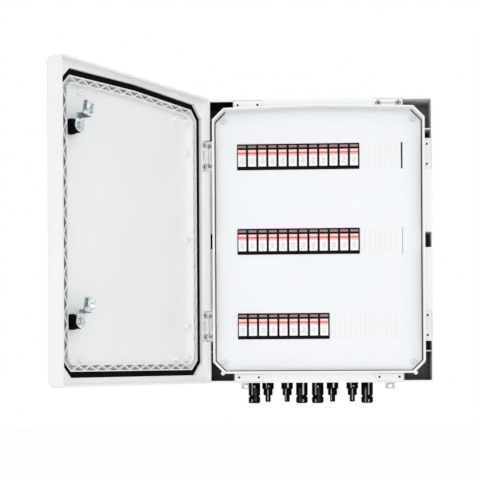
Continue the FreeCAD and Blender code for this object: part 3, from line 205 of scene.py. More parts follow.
def softbox(name, place, aim, width, height, watts):
    """A soft rectangular lamp that points at a place."""
    lamp = bpy.data.objects.new(name, bpy.data.lights.new(name, "AREA"))
    bpy.context.scene.collection.objects.link(lamp)
    lamp.location = place
    lamp.rotation_euler = (Vector(aim) - Vector(place)).to_track_quat("-Z", "Y").to_euler()
    lamp.data.shape = "RECTANGLE"
    lamp.data.size = width
    lamp.data.size_y = height
    lamp.data.energy = watts
    return lamp


for name, values in LAMPS.items():
    softbox(name, *values)
print(len(LAMPS), "soft lamps")

# %% [markdown]
# Every finish below starts from the same recipe. One fine noise stands for the spark-eroded
# grain of a mould, or for the grain of a coating; it drives a small bump and a small change
# of roughness. A second, slow noise shifts the colour a little, as thick and thin walls do.
# Numbers that are the same all over sit on the shader's own sockets.

# %% Finish recipe
COAT_ROUGHNESS = 0.08
FINE_DETAIL = 3.0
SLOW_DETAIL = 2.0
DRIFT_SPAN = (0.3, 0.7)
LOWEST_ROUGHNESS = 0.02
GRAIN_HEIGHT = 0.4 * MM


def finish(name, colour, roughness, grain=900.0, bump=0.04, drift=0.03, drift_scale=7.0, metallic=0.0,
           coat=0.0, rough_change=0.06, specular=0.5, stretch=None):
    """A procedural surface: fine grain in bump and roughness, slow drift in colour."""
    material = bpy.data.materials.new(name)
    material.use_nodes = True
    tree = material.node_tree
    shader = tree.nodes["Principled BSDF"]
    shader.inputs["Metallic"].default_value = metallic
    shader.inputs["Specular IOR Level"].default_value = specular
    shader.inputs["Coat Weight"].default_value = coat
    shader.inputs["Coat Roughness"].default_value = COAT_ROUGHNESS
    where = tree.nodes.new("ShaderNodeTexCoord")
    spot = where.outputs["Object"]
    if stretch:
        squeeze = tree.nodes.new("ShaderNodeMapping")
        squeeze.inputs["Scale"].default_value = stretch
        tree.links.new(spot, squeeze.inputs["Vector"])
        spot = squeeze.outputs["Vector"]
    fine = tree.nodes.new("ShaderNodeTexNoise")
    fine.inputs["Scale"].default_value = grain
    fine.inputs["Detail"].default_value = FINE_DETAIL
    tree.links.new(spot, fine.inputs["Vector"])
    slow = tree.nodes.new("ShaderNodeTexNoise")
    slow.inputs["Scale"].default_value = drift_scale
    slow.inputs["Detail"].default_value = SLOW_DETAIL
    tree.links.new(where.outputs["Object"], slow.inputs["Vector"])
    tones = tree.nodes.new("ShaderNodeValToRGB")
    for stop, position, gain in zip(tones.color_ramp.elements, DRIFT_SPAN, (1 - drift, 1 + drift)):
        stop.position = position
        stop.color = (*[min(1.0, part * gain) for part in colour], 1)
    tree.links.new(slow.outputs["Fac"], tones.inputs["Fac"])
    tree.links.new(tones.outputs["Color"], shader.inputs["Base Color"])
    spread = tree.nodes.new("ShaderNodeMapRange")
    spread.inputs["To Min"].default_value = max(LOWEST_ROUGHNESS, roughness - rough_change)
    spread.inputs["To Max"].default_value = min(1.0, roughness + rough_change)
    tree.links.new(fine.outputs["Fac"], spread.inputs["Value"])
    tree.links.new(spread.outputs["Result"], shader.inputs["Roughness"])
    relief = tree.nodes.new("ShaderNodeBump")
    relief.inputs["Strength"].default_value = bump
    relief.inputs["Distance"].default_value = GRAIN_HEIGHT
    tree.links.new(fine.outputs["Fac"], relief.inputs["Height"])
    tree.links.new(relief.outputs["Normal"], shader.inputs["Normal"])
    return material


# %% Finishes
CASE_COLOUR = (0.89, 0.90, 0.89)
FINISHES = {
    "case_plastic": finish("case_grain", CASE_COLOUR, 0.42, grain=1100, bump=0.10, drift=0.012),
    "gasket_foam": finish("gasket_foam", (0.004, 0.004, 0.005), 0.8, grain=1600, bump=0.3, drift=0.2,
                          specular=0.03),
    # The hinges are the same white as the case; their lighter colour is painted light, making up for the
    # shade that the open door casts on them.
    "hinge_plastic": finish("hinge_moulding_painted_light", (0.93, 0.94, 0.93), 0.38, grain=1400, bump=0.12, drift=0.03),
    "steel": finish("zinc_plated_steel", (0.62, 0.63, 0.65), 0.30, grain=1800, bump=0.10, drift=0.08,
                    metallic=1.0, drift_scale=160),
    "yellow_zinc": finish("yellow_passivated_steel", (0.40, 0.35, 0.25), 0.30, grain=1500, bump=0.10,
                          drift=0.14, metallic=1.0, drift_scale=220),
    "black_plastic": finish("black_nylon", (0.002, 0.002, 0.003), 0.5, grain=1300, bump=0.12, drift=0.15,
                            specular=0.03),
    "zinc": finish("bright_die_cast_zinc", (0.66, 0.73, 0.76), 0.20, grain=420, bump=0.16, drift=0.35,
                   metallic=1.0, drift_scale=170),
    "plate_plastic": finish("gloss_plate", (0.855, 0.865, 0.88), 0.16, grain=16, bump=0.05,
                            drift=0.01, rough_change=0.02, coat=0.3),
    "grey_plastic": finish("grey_nylon", (0.42, 0.43, 0.44), 0.48, grain=1200, bump=0.12),
    "seal_rubber": finish("seal_rubber", (0.014, 0.014, 0.014), 0.7, grain=1500, bump=0.2),
    "brass": finish("brass_bar", (0.72, 0.56, 0.27), 0.26, grain=900, bump=0.08, metallic=1.0,
                    drift_scale=60),
    "rail_steel": finish("galvanised_rail", (0.66, 0.67, 0.68), 0.34, grain=260, bump=0.05, drift=0.10,
                         metallic=1.0, drift_scale=45, stretch=(0.25, 1, 1)),
    "arrester_plastic": finish("arrester_moulding", (0.004, 0.004, 0.005), 0.5, grain=1500, bump=0.12,
                               drift=0.12, specular=0.05),
    "cartridge_plastic": finish("cartridge_moulding", (0.006, 0.006, 0.007), 0.45, grain=1500, bump=0.12,
                                drift=0.12, specular=0.08),
    "strip_plastic": finish("strip_moulding", (0.875, 0.88, 0.885), 0.38, grain=1000, bump=0.08,
                            drift=0.012),
    "connector_plastic": finish("connector_moulding", (0.002, 0.002, 0.003), 0.16, grain=1500, bump=0.06,
                                drift=0.12, specular=0.04, rough_change=0.03),
}
print(len(FINISHES), "finishes")

# %% [markdown]
# The pockets of the case are narrow and deep, and little light comes back out of them. Their walls get
# painted shade: the same plastic, mixed with a near black by how far a point lies behind the flange. The open
# door keeps light from the pockets on its side, most of all from the upper one, so the painted shade is
# stronger there. All limits are distances from the planes of the case itself.

# %% Shader sums
def calculate(tree, operation, *values):
    """The output of a math node whose inputs are numbers or other outputs."""
    node = tree.nodes.new("ShaderNodeMath")
    node.operation = operation
    for socket, value in zip(node.inputs, values):
        if isinstance(value, (int, float)):
            socket.default_value = value
        else:
            tree.links.new(value, socket)
    return node.outputs[0]


def smallest(tree, values, operation="MINIMUM"):
    """The smallest of several outputs."""
    result = values[0]
    for value in values[1:]:
        result = calculate(tree, operation, result, value)
    return result


def largest(tree, values):
    """The largest of several outputs."""
    return smallest(tree, values, "MAXIMUM")


def clamped(tree, value):
    """An output kept between 0 and 1."""
    node = tree.nodes.new("ShaderNodeClamp")
    tree.links.new(value, node.inputs["Value"])
    return node.outputs[0]


def coordinates(tree, kind="Object"):
    """An output of a texture coordinate node."""
    return tree.nodes.new("ShaderNodeTexCoord").outputs[kind]


def split_up(tree, vector):
    """The x, y and z of a vector output."""
    split = tree.nodes.new("ShaderNodeSeparateXYZ")
    tree.links.new(vector, split.inputs[0])
    return tuple(split.outputs)


def mix_in(material, colour, share):
    """Mixes a colour into the base colour of a finish, by a share from 0 to 1."""
    tree = material.node_tree
    shader = tree.nodes["Principled BSDF"]
    plain = shader.inputs["Base Color"].links[0].from_socket
    mix = tree.nodes.new("ShaderNodeMix")
    mix.data_type = "RGBA"
    mix.inputs["B"].default_value = (*colour, 1)
    tree.links.new(share, mix.inputs["Factor"])
    tree.links.new(plain, mix.inputs["A"])
    tree.links.new(mix.outputs["Result"], shader.inputs["Base Color"])


print("helpers for masks ready")

# %% Shaded pockets
POCKET_RIM = 1.0 * MM
LIP_RISE = 16.0 * MM
LIP_MIDDLE = (184.0 * MM, 231.5 * MM)
POCKET_REACH = 140.0 * MM
LIP_DIAGONAL = 395.5 * MM
CORNER_DIAGONAL = 445.0 * MM
POCKET_DEPTH = 78.0 * MM
SHADE_FROM = 3.0 * MM
SHADE_DEPTH = 88.0 * MM
HINGE_SIDE_START = 0.45
UPPER_LESS = 0.20
POCKET_PAINTED_SHADE = (0.004, 0.004, 0.004)
POCKET_MASK_GAIN = 2000.0


def shade_pockets(material, low, high):
    """Paints shade on the pocket walls of the case, whose box runs from low to high."""
    tree = material.node_tree
    side, forward, level = split_up(tree, coordinates(tree))
    x = calculate(tree, "ABSOLUTE", side)
    z = calculate(tree, "ABSOLUTE", level)
    both = calculate(tree, "ADD", x, z)
    depth = calculate(tree, "SUBTRACT", forward, low.y + LIP_RISE)
    outside_lip = largest(tree, [
        calculate(tree, "SUBTRACT", x, LIP_MIDDLE[0]),
        smallest(tree, [calculate(tree, "SUBTRACT", z, LIP_MIDDLE[1]),
                        calculate(tree, "SUBTRACT", x, POCKET_REACH)]),
        calculate(tree, "SUBTRACT", both, LIP_DIAGONAL),
    ])
    inside = smallest(tree, [
        calculate(tree, "SUBTRACT", high.x - POCKET_RIM, x),
        calculate(tree, "SUBTRACT", high.z - POCKET_RIM, z),
        calculate(tree, "SUBTRACT", CORNER_DIAGONAL, both),
        calculate(tree, "SUBTRACT", POCKET_DEPTH, depth),
        calculate(tree, "SUBTRACT", depth, SHADE_FROM),
        outside_lip,
    ])
    mask = clamped(tree, calculate(tree, "MULTIPLY", inside, POCKET_MASK_GAIN))
    hinge_side = calculate(tree, "LESS_THAN", side, 0.0)
    upper = calculate(tree, "GREATER_THAN", level, 0.0)
    upper_free = calculate(tree, "MULTIPLY", upper, calculate(tree, "SUBTRACT", 1.0, hinge_side))
    hinge_start = calculate(tree, "MULTIPLY_ADD", upper, HINGE_SIDE_START, HINGE_SIDE_START)
    start = calculate(tree, "MULTIPLY_ADD", upper_free, -UPPER_LESS,
                      calculate(tree, "MULTIPLY", hinge_side, hinge_start))
    share = clamped(tree, calculate(tree, "MULTIPLY_ADD", depth, 1.0 / SHADE_DEPTH, start))
    mix_in(material, POCKET_PAINTED_SHADE, calculate(tree, "MULTIPLY", mask, share))


# The case's finish, with painted shade in its pockets.
CASE_SHADED = finish("case_grain_with_painted_pocket_shade", CASE_COLOUR, 0.42, grain=1100, bump=0.10, drift=0.012)
shade_pockets(CASE_SHADED, *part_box("enclosure_base"))
print("pocket walls darken over", round(SHADE_DEPTH / MM), "mm")

# %% [markdown]
# The ring of triangular ribs on the door is a row of small pockets too, and gets painted shade as well. The
# door stands open in the frame, so its points are first turned back to the closed door, where the ring is a
# plain octagon about the middle. The run on the lock side is seen end on, and gets the darkest painted shade.

# %% Shaded lattice
DOOR_JOINT = next(joint for joint in frame["record"]["behaviour"]["joints"] if joint["name"] == "door_hinge")
DOOR_OPEN = math.radians(DOOR_JOINT["range_deg"][1])
LATTICE_OUTER = (177.4 * MM, 226.0 * MM)
LATTICE_INNER = (169.0 * MM, 216.2 * MM)
LATTICE_CORNERS = (374.3 * MM, 385.6 * MM)
LATTICE_TIP = 197.2 * MM
LATTICE_SHADE = 0.05
FREE_SIDE_MORE = 0.70
BOTTOM_LESS = 0.05
LATTICE_PAINTED_SHADE = (0.10, 0.10, 0.10)
LATTICE_MASK_GAIN = 800.0


def shade_lattice(material):
    """Paints grey shade on the floor and the lower walls of the rib lattice, measured on the closed door."""
    tree = material.node_tree
    closed = tree.nodes.new("ShaderNodeVectorRotate")
    closed.rotation_type = "Z_AXIS"
    closed.inputs["Center"].default_value = DOOR_JOINT["pos_m"]
    closed.inputs["Angle"].default_value = DOOR_OPEN
    tree.links.new(coordinates(tree), closed.inputs["Vector"])
    side, forward, level = split_up(tree, closed.outputs[0])
    x = calculate(tree, "ABSOLUTE", side)
    z = calculate(tree, "ABSOLUTE", level)
    both = calculate(tree, "ADD", x, z)
    inside = smallest(tree, [
        calculate(tree, "SUBTRACT", LATTICE_OUTER[0], x),
        calculate(tree, "SUBTRACT", LATTICE_OUTER[1], z),
        calculate(tree, "SUBTRACT", LATTICE_CORNERS[1], both),
        calculate(tree, "SUBTRACT", calculate(tree, "MULTIPLY", forward, -1.0), LATTICE_TIP),
        largest(tree, [
            calculate(tree, "SUBTRACT", x, LATTICE_INNER[0]),
            calculate(tree, "SUBTRACT", z, LATTICE_INNER[1]),
            calculate(tree, "SUBTRACT", both, LATTICE_CORNERS[0]),
        ]),
    ])
    mask = clamped(tree, calculate(tree, "MULTIPLY", inside, LATTICE_MASK_GAIN))
    free_side = calculate(tree, "GREATER_THAN", side, LATTICE_INNER[0])
    bottom = calculate(tree, "LESS_THAN", level, -LATTICE_INNER[1])
    share = calculate(tree, "MULTIPLY_ADD", free_side, FREE_SIDE_MORE,
                      calculate(tree, "MULTIPLY_ADD", bottom, -BOTTOM_LESS, LATTICE_SHADE))
    mix_in(material, LATTICE_PAINTED_SHADE, calculate(tree, "MULTIPLY", mask, share))


# The door's finish, with painted shade in its rib lattice.
DOOR_SHADED = finish("door_grain_with_painted_lattice_shade", CASE_COLOUR, 0.42, grain=1100, bump=0.10, drift=0.012)
shade_lattice(DOOR_SHADED)
print("lattice shaded on a door that is", round(math.degrees(DOOR_OPEN), 1), "degrees open")

# %% [markdown]
# The cams of the locks are bright zinc and mirror what is around them. In a white room their
# undersides would be white as well, so faces that look down are mixed with a dark blue, as
# if they mirrored a dark bench.

# %% Dark undersides
DARK_BELOW = (0.03, 0.04, 0.055)
BELOW_GAIN = 1.8
BELOW_FROM = 0.35


def darken_below(material):
    """Darkens the faces that look down."""
    tree = material.node_tree
    upward = split_up(tree, coordinates(tree, "Normal"))[2]
    share = calculate(tree, "MULTIPLY_ADD", upward, -BELOW_GAIN, -BELOW_FROM)
    mix_in(material, DARK_BELOW, clamped(tree, share))


darken_below(FINISHES["zinc"])
LUG_WHITE = finish("powder_coated_steel", (0.84, 0.85, 0.84), 0.45, grain=700, bump=0.2, drift=0.02)
SHADED_OR_OWN_FINISH = {"enclosure_base": CASE_SHADED, "door_shell": DOOR_SHADED, "wall_lugs": LUG_WHITE}
print("own finishes for", ", ".join(SHADED_OR_OWN_FINISH))

# %% [markdown]
# A moulding never has a knife edge. The frame's meshes stay as they are, but a modifier may
# round what is shown: the loose triangle corners are welded first, then each edge that
# turns by more than a third of a right angle gets a small bevel that catches the light.

# %% Edges
# Rounding in mm, by the start of a node's name.
EDGE_ROUND = {
    "enclosure_base": 0.5, "door_shell": 0.35, "front_plate": 0.3, "door_gasket": 0.6,
    "hinge_frame_leaf": 0.3, "hinge_door_leaf": 0.3, "lock_housing": 0.5, "lock_spindle": 0.3,
    "lock_cam": 0.5, "cam_screw": 0.6, "front_plate_screws": 0.5, "pad_screws": 0.5,
    "hinge_frame_screws": 0.4, "hinge_door_screws": 0.4, "arrester_base": 0.4, "cartridges": 0.35,
    "blanking_strip": 0.15, "connector_": 0.35, "wall_lugs": 0.4, "lug_screws": 0.5, "earth_bar": 0.4,
    "rail_upright": 0.3, "din_rail": 0.15, "frame_": 0.4, "front_plate_posts": 0.4, "lock_nuts": 0.5,
    "hinge_pins": 0.3,
}
EDGE_ANGLE = math.radians(32)
WELD_REACH = 2e-6


def edge_size(name):
    """The rounding of the longest matching name in the list, in metres."""
    found = max((key for key in EDGE_ROUND if name.startswith(key)), key=len)
    return EDGE_ROUND[found] * MM


def round_edges(item, size):
    """Welds a node's loose corners and rounds its edges."""
    weld = item.modifiers.new("weld", "WELD")
    weld.merge_threshold = WELD_REACH
    bevel = item.modifiers.new("rounded_edges", "BEVEL")
    bevel.width = size
    bevel.segments = 2
    bevel.limit_method = "ANGLE"
    bevel.angle_limit = EDGE_ANGLE
    bevel.harden_normals = True


slot_of = {entry["node"]: entry["material_slot"] for entry in frame["record"]["subparts"]}
for name, item in nodes.items():
    item.data.materials.clear()
    item.data.materials.append(SHADED_OR_OWN_FINISH.get(name, FINISHES[slot_of[name]]))
    round_edges(item, edge_size(name))
print("finishes on", len(nodes), "nodes")

# %% [markdown]
# Small pieces are built in bmesh. The helpers below make the forms that repeat: a flat slab, a thin bar of
# print or of painted shade, a cross and a ring. A piece is kept by name, gets its finish, and rides on the
# body that carries it.

# %% Slabs and bars
CORNER_STEPS = 4
INK_THICK = 0.06 * MM


def new_piece(name, mesh, materials, body):
    """Keeps a mesh as a piece that rides on a body."""
    data = bpy.data.meshes.new(name)
    mesh.to_mesh(data)
    mesh.free()
    item = bpy.data.objects.new(name, data)
    bpy.context.scene.collection.objects.link(item)
    for material in materials if isinstance(materials, (list, tuple)) else [materials]:
        data.materials.append(material)
    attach(item, body)
    return item


def rounded_outline(width, height, radius):
    """Points of a rounded rectangle about the origin, anticlockwise."""
    points = []
    for quarter, (sx, sz) in enumerate(((1, 1), (-1, 1), (-1, -1), (1, -1))):
        for step in range(CORNER_STEPS + 1):
            angle = math.pi / 2 * (quarter + step / CORNER_STEPS)
            points.append((sx * (width / 2 - radius) + radius * math.cos(angle),
                           sz * (height / 2 - radius) + radius * math.sin(angle)))
    return points


def rectangle(width, height, lean=0.0):
    """Points of a rectangle about the origin, anticlockwise, leaning by an angle."""
    points = [(width / 2, height / 2), (-width / 2, height / 2), (-width / 2, -height / 2),
              (width / 2, -height / 2)]
    return [(x * math.cos(lean) - z * math.sin(lean), x * math.sin(lean) + z * math.cos(lean))
            for x, z in points]


def add_slab(mesh, outline, centre, front, thick, index=0):
    """A flat slab facing -Y with its outline about centre (x, z)."""
    back, face = [[mesh.verts.new((centre[0] + x, y, centre[1] + z)) for x, z in outline]
                  for y in (front + thick, front)]
    made = [mesh.faces.new(face), mesh.faces.new(list(reversed(back)))]
    for step in range(len(outline)):
        after = (step + 1) % len(outline)
        made.append(mesh.faces.new((face[after], face[step], back[step], back[after])))
    for side in made:
        side.material_index = index


def bar(mesh, centre, width, height, front, index=0, lean=0.0):
    """A thin bar of ink thickness, leaning by an angle: print, or painted shade."""
    add_slab(mesh, rectangle(width, height, lean), centre, front, INK_THICK, index)


print("ink is", round(INK_THICK / MM, 2), "mm thick")

# %% Crosses and rings
RING_STEPS = 32
MARK_THICK = 0.08 * MM


def add_cross(mesh, centre, front, length, width, lean=0.0):
    """Two crossing bars that face -Y."""
    for turn_more in (0.0, math.pi / 2):
        add_slab(mesh, rectangle(length, width, lean + turn_more), centre, front - MARK_THICK, MARK_THICK)


def add_ring(mesh, centre, front, outer, inner):
    """A flat ring that faces -Y."""
    rings = []
    for y in (front, front - MARK_THICK):
        for radius in (outer, inner):
            rings.append([mesh.verts.new((centre[0] + radius * math.cos(step * math.tau / RING_STEPS), y,
                                          centre[1] + radius * math.sin(step * math.tau / RING_STEPS)))
                          for step in range(RING_STEPS)])
    back_outer, back_inner, front_outer, front_inner = rings
    for first, second in ((front_outer, front_inner), (back_inner, back_outer), (back_outer, front_outer),
                          (front_inner, back_inner)):
        for step in range(RING_STEPS):
            after = (step + 1) % RING_STEPS
            mesh.faces.new((first[after], first[step], second[step], second[after]))


print("marks are", round(MARK_THICK / MM, 2), "mm thick")

# %% [markdown]
# The printed cards on the surge arresters are what the eye finds first. Each cartridge has a
# small grey field at its top, and below it a white card with a pale strip, a light red strip,
# a red stripe, both strips again and a drawing in thin grey lines. The drawing is the plain
# symbol of a varistor between its two wires. Each field is its own shallow slab, so that it
# is crisp.

# %% Card finishes
PRINT = {
    "white": finish("card_white", (0.90, 0.90, 0.90), 0.33, grain=2200, bump=0.03, drift=0.01),
    "pale": finish("card_pale_red", (0.95, 0.66, 0.67), 0.33, grain=2200, bump=0.03, drift=0.02),
    "red": finish("card_red", (0.74, 0.10, 0.105), 0.35, grain=2200, bump=0.03, drift=0.03),
    "light_red": finish("card_light_red", (0.92, 0.40, 0.39), 0.35, grain=2200, bump=0.03, drift=0.03),
    "line": finish("card_grey_line", (0.48, 0.48, 0.49), 0.4, grain=2200, bump=0.02, drift=0.02),
    "field": finish("card_grey_field", (0.30, 0.205, 0.195), 0.42, grain=2200, bump=0.04, drift=0.05),
    "faint_red": finish("card_faint_red", (0.42, 0.17, 0.18), 0.42, grain=2200, bump=0.03, drift=0.05),
}
INK = {kind: index for index, kind in enumerate(PRINT)}
print(len(PRINT), "inks")

# %% Symbol
SYMBOL_HEIGHT = 12.0 * MM
SYMBOL_WIDTH = 4.2 * MM
SYMBOL_DROP = 7.0 * MM
LINE_WIDTH = 0.45 * MM
# Shares of the symbol's height: box, slash, wire length and wire place.
BOX_SHARE, SLASH_SHARE, WIRE_SHARE, WIRE_PLACE = 0.5, 0.78, 0.26, 0.37
SLASH_LEAN = math.radians(-38)
# The foot of the slash: its place as shares of width and height, and its length.
FOOT = (0.72, 0.36, 0.5)


def draw_symbol(mesh, x, z, front, index):
    """A resistor box crossed by a slanted line, between two wires."""
    box_height = SYMBOL_HEIGHT * BOX_SHARE
    for side in (1, -1):
        bar(mesh, (x + side * SYMBOL_WIDTH / 2, z), LINE_WIDTH, box_height, front, index)
        bar(mesh, (x, z + side * box_height / 2), SYMBOL_WIDTH, LINE_WIDTH, front, index)
        bar(mesh, (x, z + side * SYMBOL_HEIGHT * WIRE_PLACE), LINE_WIDTH, SYMBOL_HEIGHT * WIRE_SHARE, front,
            index)
    bar(mesh, (x, z), LINE_WIDTH, SYMBOL_HEIGHT * SLASH_SHARE, front, index, SLASH_LEAN)
    bar(mesh, (x + SYMBOL_WIDTH * FOOT[0], z - SYMBOL_HEIGHT * FOOT[1]), SYMBOL_WIDTH * FOOT[2], LINE_WIDTH,
        front, index)


print("symbol", round(SYMBOL_WIDTH / MM, 1), "by", round(SYMBOL_HEIGHT / MM, 1), "mm")

# %% Label cards
MODULE = 18 * MM
CARD_WIDTH = 14.0 * MM
CARD_HEIGHT = 29.4 * MM
CARD_TOP = 12.5 * MM
CARD_SHIFT = -0.5 * MM
CARD_THICK = 0.25 * MM
CARD_CORNER = 0.5 * MM
# From the top of the card downward: (height in mm, ink)
CARD_BANDS = ((3.4, "pale"), (1.3, "light_red"), (2.1, "red"), (2.2, "light_red"), (1.8, "pale"))
FIELD_TOP = 20.1 * MM
FIELD_HEIGHT = 3.8 * MM
FIELD_CORNER = 0.4 * MM
# The faint line in the field: its width and its place as shares of the field, and its height.
FIELD_LINE = (0.8, 0.62, 1.1 * MM)


def card(name, x, z, face):
    """The card and the grey field of one cartridge; face is the y of the cartridge's front."""
    mesh = bmesh.new()
    front = face - CARD_THICK
    ink = front - INK_THICK
    top = z + CARD_TOP
    add_slab(mesh, rounded_outline(CARD_WIDTH, CARD_HEIGHT, CARD_CORNER), (x, top - CARD_HEIGHT / 2), front,
             CARD_THICK, INK["white"])
    for height, kind in CARD_BANDS:
        height = height * MM
        bar(mesh, (x, top - height / 2), CARD_WIDTH, height, ink, INK[kind])
        top -= height
    draw_symbol(mesh, x, z - SYMBOL_DROP, ink, INK["line"])
    field_top = z + FIELD_TOP
    add_slab(mesh, rounded_outline(CARD_WIDTH, FIELD_HEIGHT, FIELD_CORNER), (x, field_top - FIELD_HEIGHT / 2),
             front, CARD_THICK, INK["field"])
    bar(mesh, (x, field_top - FIELD_HEIGHT * FIELD_LINE[1]), CARD_WIDTH * FIELD_LINE[0], FIELD_LINE[2], ink,
        INK["faint_red"])
    return new_piece(name, mesh, list(PRINT.values()), "case")


ROWS = ("top", "middle", "bottom")
cards = 0
for row in ROWS:
    low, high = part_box(f"cartridges_{row}")
    strip_low, strip_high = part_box(f"blanking_strip_{row}")
    middle = (strip_low.z + strip_high.z) / 2
    for index in range(round((high.x - low.x) / MODULE)):
        card(f"label_card_{row}_{index + 1}", low.x + MODULE * (index + 0.5) + CARD_SHIFT, middle, low.y)
        cards += 1
print(cards, "label cards")

# %% [markdown]
# The cable connectors are black, and all that shows on them is what shines, so the shine is painted: pale
# strips are painted highlights on a rib down the housing and at a latch window, and rows of grip points carry
# a painted sheen. Each is a narrow strip that follows the turned housing. Its place is found with rays sent
# at the housing from the front, so the strip bends with every step of the profile.

# %% Rib finishes
# The greys of these finishes are painted highlights and a painted sheen on the black housings.
PAINTED_SHINE = {
    "rib": finish("rib_painted_highlight", (0.40, 0.40, 0.41), 0.25, grain=1500, bump=0.04, drift=0.1, specular=0.4),
    "bright_rib_painted_highlight": finish("bright_rib_painted_highlight", (0.72, 0.72, 0.73), 0.22, grain=1500, bump=0.03, drift=0.05,
                         specular=0.4),
    "grip": finish("grip_points_painted_sheen", (0.055, 0.055, 0.06), 0.35, grain=1500, bump=0.10, drift=0.2, specular=0.3),
}
print(len(PAINTED_SHINE), "finishes that shine")

# %% Strips
# How far a strip stands out at its sides and along its middle, and the step it follows in.
STRIP_PROFILE = ((-0.5, 0.02 * MM), (0.0, 0.12 * MM), (0.5, 0.02 * MM))
STRIP_STEP = 0.8 * MM
RAY_START = -0.5
depsgraph = bpy.context.evaluated_depsgraph_get()


def surface_of(name):
    """A node's surface, with its rounded edges, for rays to meet."""
    return BVHTree.FromObject(nodes[name], depsgraph)


def front_of(surface, x, z):
    """The y where a ray from the front meets a surface, or None."""
    hit = surface.ray_cast(Vector((x, RAY_START, z)), Vector((0, 1, 0)))[0]
    return hit.y if hit else None


def add_strip(mesh, surface, x, top, bottom, width):
    """A strip that follows the housing from top to bottom."""
    steps = max(2, round((top - bottom) / STRIP_STEP))
    rows = []
    for step in range(steps + 1):
        z = top + (bottom - top) * step / steps
        fronts = [front_of(surface, x + share * width, z) for share, _ in STRIP_PROFILE]
        if None in fronts:
            continue
        rows.append([mesh.verts.new((x + share * width, front - rise, z))
                     for (share, rise), front in zip(STRIP_PROFILE, fronts)])
    for upper, lower in zip(rows, rows[1:]):
        for side in (0, 1):
            mesh.faces.new((upper[side], lower[side], lower[side + 1], upper[side + 1]))


print("strips follow in steps of", round(STRIP_STEP / MM, 1), "mm")

# %% Connector ribs
# Ribs as (finish, side, top, bottom, width) in mm from the connector's axis and the case.
SOCKET_LEFT = (("rib", -4.0, 1.5, 24.0, 1.9), ("rib", -4.0, 32.0, 37.0, 1.9),
               ("bright_rib_painted_highlight", 0.4, 7.2, 9.8, 2.0))
SOCKET_RIGHT = (("bright_rib_painted_highlight", 2.6, 1.5, 24.0, 2.6), ("rib", 2.6, 32.0, 37.0, 2.2))
SOCKET_FAR = (("rib", 2.6, 1.5, 24.0, 2.0), ("rib", -3.2, 14.0, 37.0, 1.2), ("rib", 2.6, 32.0, 37.0, 2.2))
PLUG_LEFT = (("rib", -3.0, 1.5, 11.0, 2.4), ("bright_rib_painted_highlight", 1.8, 7.0, 9.2, 1.8),
             ("rib", 0.0, 13.0, 34.0, 1.7))
PLUG_RIGHT = (("bright_rib_painted_highlight", 1.6, 1.5, 10.5, 2.6), ("rib", -2.4, 13.0, 34.0, 1.7))
RIBS = {1: SOCKET_LEFT, 2: PLUG_LEFT, 3: PLUG_RIGHT, 4: SOCKET_RIGHT, 5: SOCKET_LEFT, 6: PLUG_RIGHT,
        7: PLUG_LEFT, 8: SOCKET_FAR}
# Grip points: place of their middle column, and in mm their top, spacings, slant and size.
GRIP_SIDE = {1: 2.2, 4: -3.4, 5: 2.4, 8: -3.0}
GRIP_ROWS = 9
GRIP_TOP, GRIP_ROW, GRIP_COLUMN, GRIP_SLANT = 11.0, 2.8, 1.7, 0.7
GRIP_HEIGHT, GRIP_WIDTH = 1.6 * MM, 1.2 * MM

case_low, case_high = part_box("enclosure_base")
painted_shines = 0
for number, ribs in RIBS.items():
    name = f"connector_{number}"
    low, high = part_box(name)
    middle = (low.x + high.x) / 2
    surface = surface_of(name)
    for order, (kind, side, top, bottom, width) in enumerate(ribs, 1):
        mesh = bmesh.new()
        add_strip(mesh, surface, middle + side * MM, case_low.z - top * MM, case_low.z - bottom * MM,
                  width * MM)
        new_piece(f"{name}_rib_{order}", mesh, PAINTED_SHINE[kind], "case")
        painted_shines += 1
    if number in GRIP_SIDE:
        mesh = bmesh.new()
        for row in range(GRIP_ROWS):
            for column in (-1, 0, 1):
                top = case_low.z - (GRIP_TOP + GRIP_ROW * row + GRIP_SLANT * column) * MM
                add_strip(mesh, surface, middle + (GRIP_SIDE[number] + GRIP_COLUMN * column) * MM, top,
                          top - GRIP_HEIGHT, GRIP_WIDTH)
        new_piece(f"{name}_grip", mesh, PAINTED_SHINE["grip"], "case")
        painted_shines += 1
print(painted_shines, "ribs and grips on the connectors")

# %% [markdown]
# The fixing pads are sunk by a millimetre, and the step shows as a hairline around each. The two pads on the
# lock side get a face that is rougher and a little greyer than the case. The screw holes are dark inside, and
# a shallow groove joins the two screws of the upper right pad. The step and the holes are in the frame, but
# soft light fills them, so bars of ink thickness are laid where the shade would be, as painted shade.

# %% Line finishes
LINE = finish("shade_line", (0.42, 0.43, 0.43), 0.6, grain=1800, bump=0.05, drift=0.03)
PALE_LINE = finish("pale_shade_line", (0.60, 0.61, 0.60), 0.6, grain=1800, bump=0.05, drift=0.03)
DEEP_LINE = finish("deep_shade_line", (0.16, 0.165, 0.16), 0.6, grain=1800, bump=0.05, drift=0.03)
PAD_GRAIN = finish("rough_pad", (0.83, 0.84, 0.83), 0.55, grain=700, bump=0.2, drift=0.02)
HOLE_DARK = finish("hole_shadow", (0.030, 0.030, 0.030), 0.7, grain=1800, bump=0.05, drift=0.1, specular=0.1)
print("three greys for lines, a rough pad and a dark hole")

# %% Pad lines
PAD_LENGTH = 52.0 * MM
PAD_SUNK = 1.0 * MM
SIDE_PAD = (185.9 * MM, 198.2 * MM)
END_PAD = (234.8 * MM, 248.2 * MM)
END_PAD_PLACE = 123.5 * MM
FITTING_HEIGHT = 150.0 * MM
HAIR = 0.6 * MM


def frame_of_lines(mesh, low_x, high_x, low_z, high_z, front):
    """Four hairlines around a rectangle that faces -Y."""
    for x in (low_x, high_x):
        bar(mesh, (x, (low_z + high_z) / 2), HAIR, high_z - low_z, front)
    for z in (low_z, high_z):
        bar(mesh, ((low_x + high_x) / 2, z), high_x - low_x, HAIR, front)


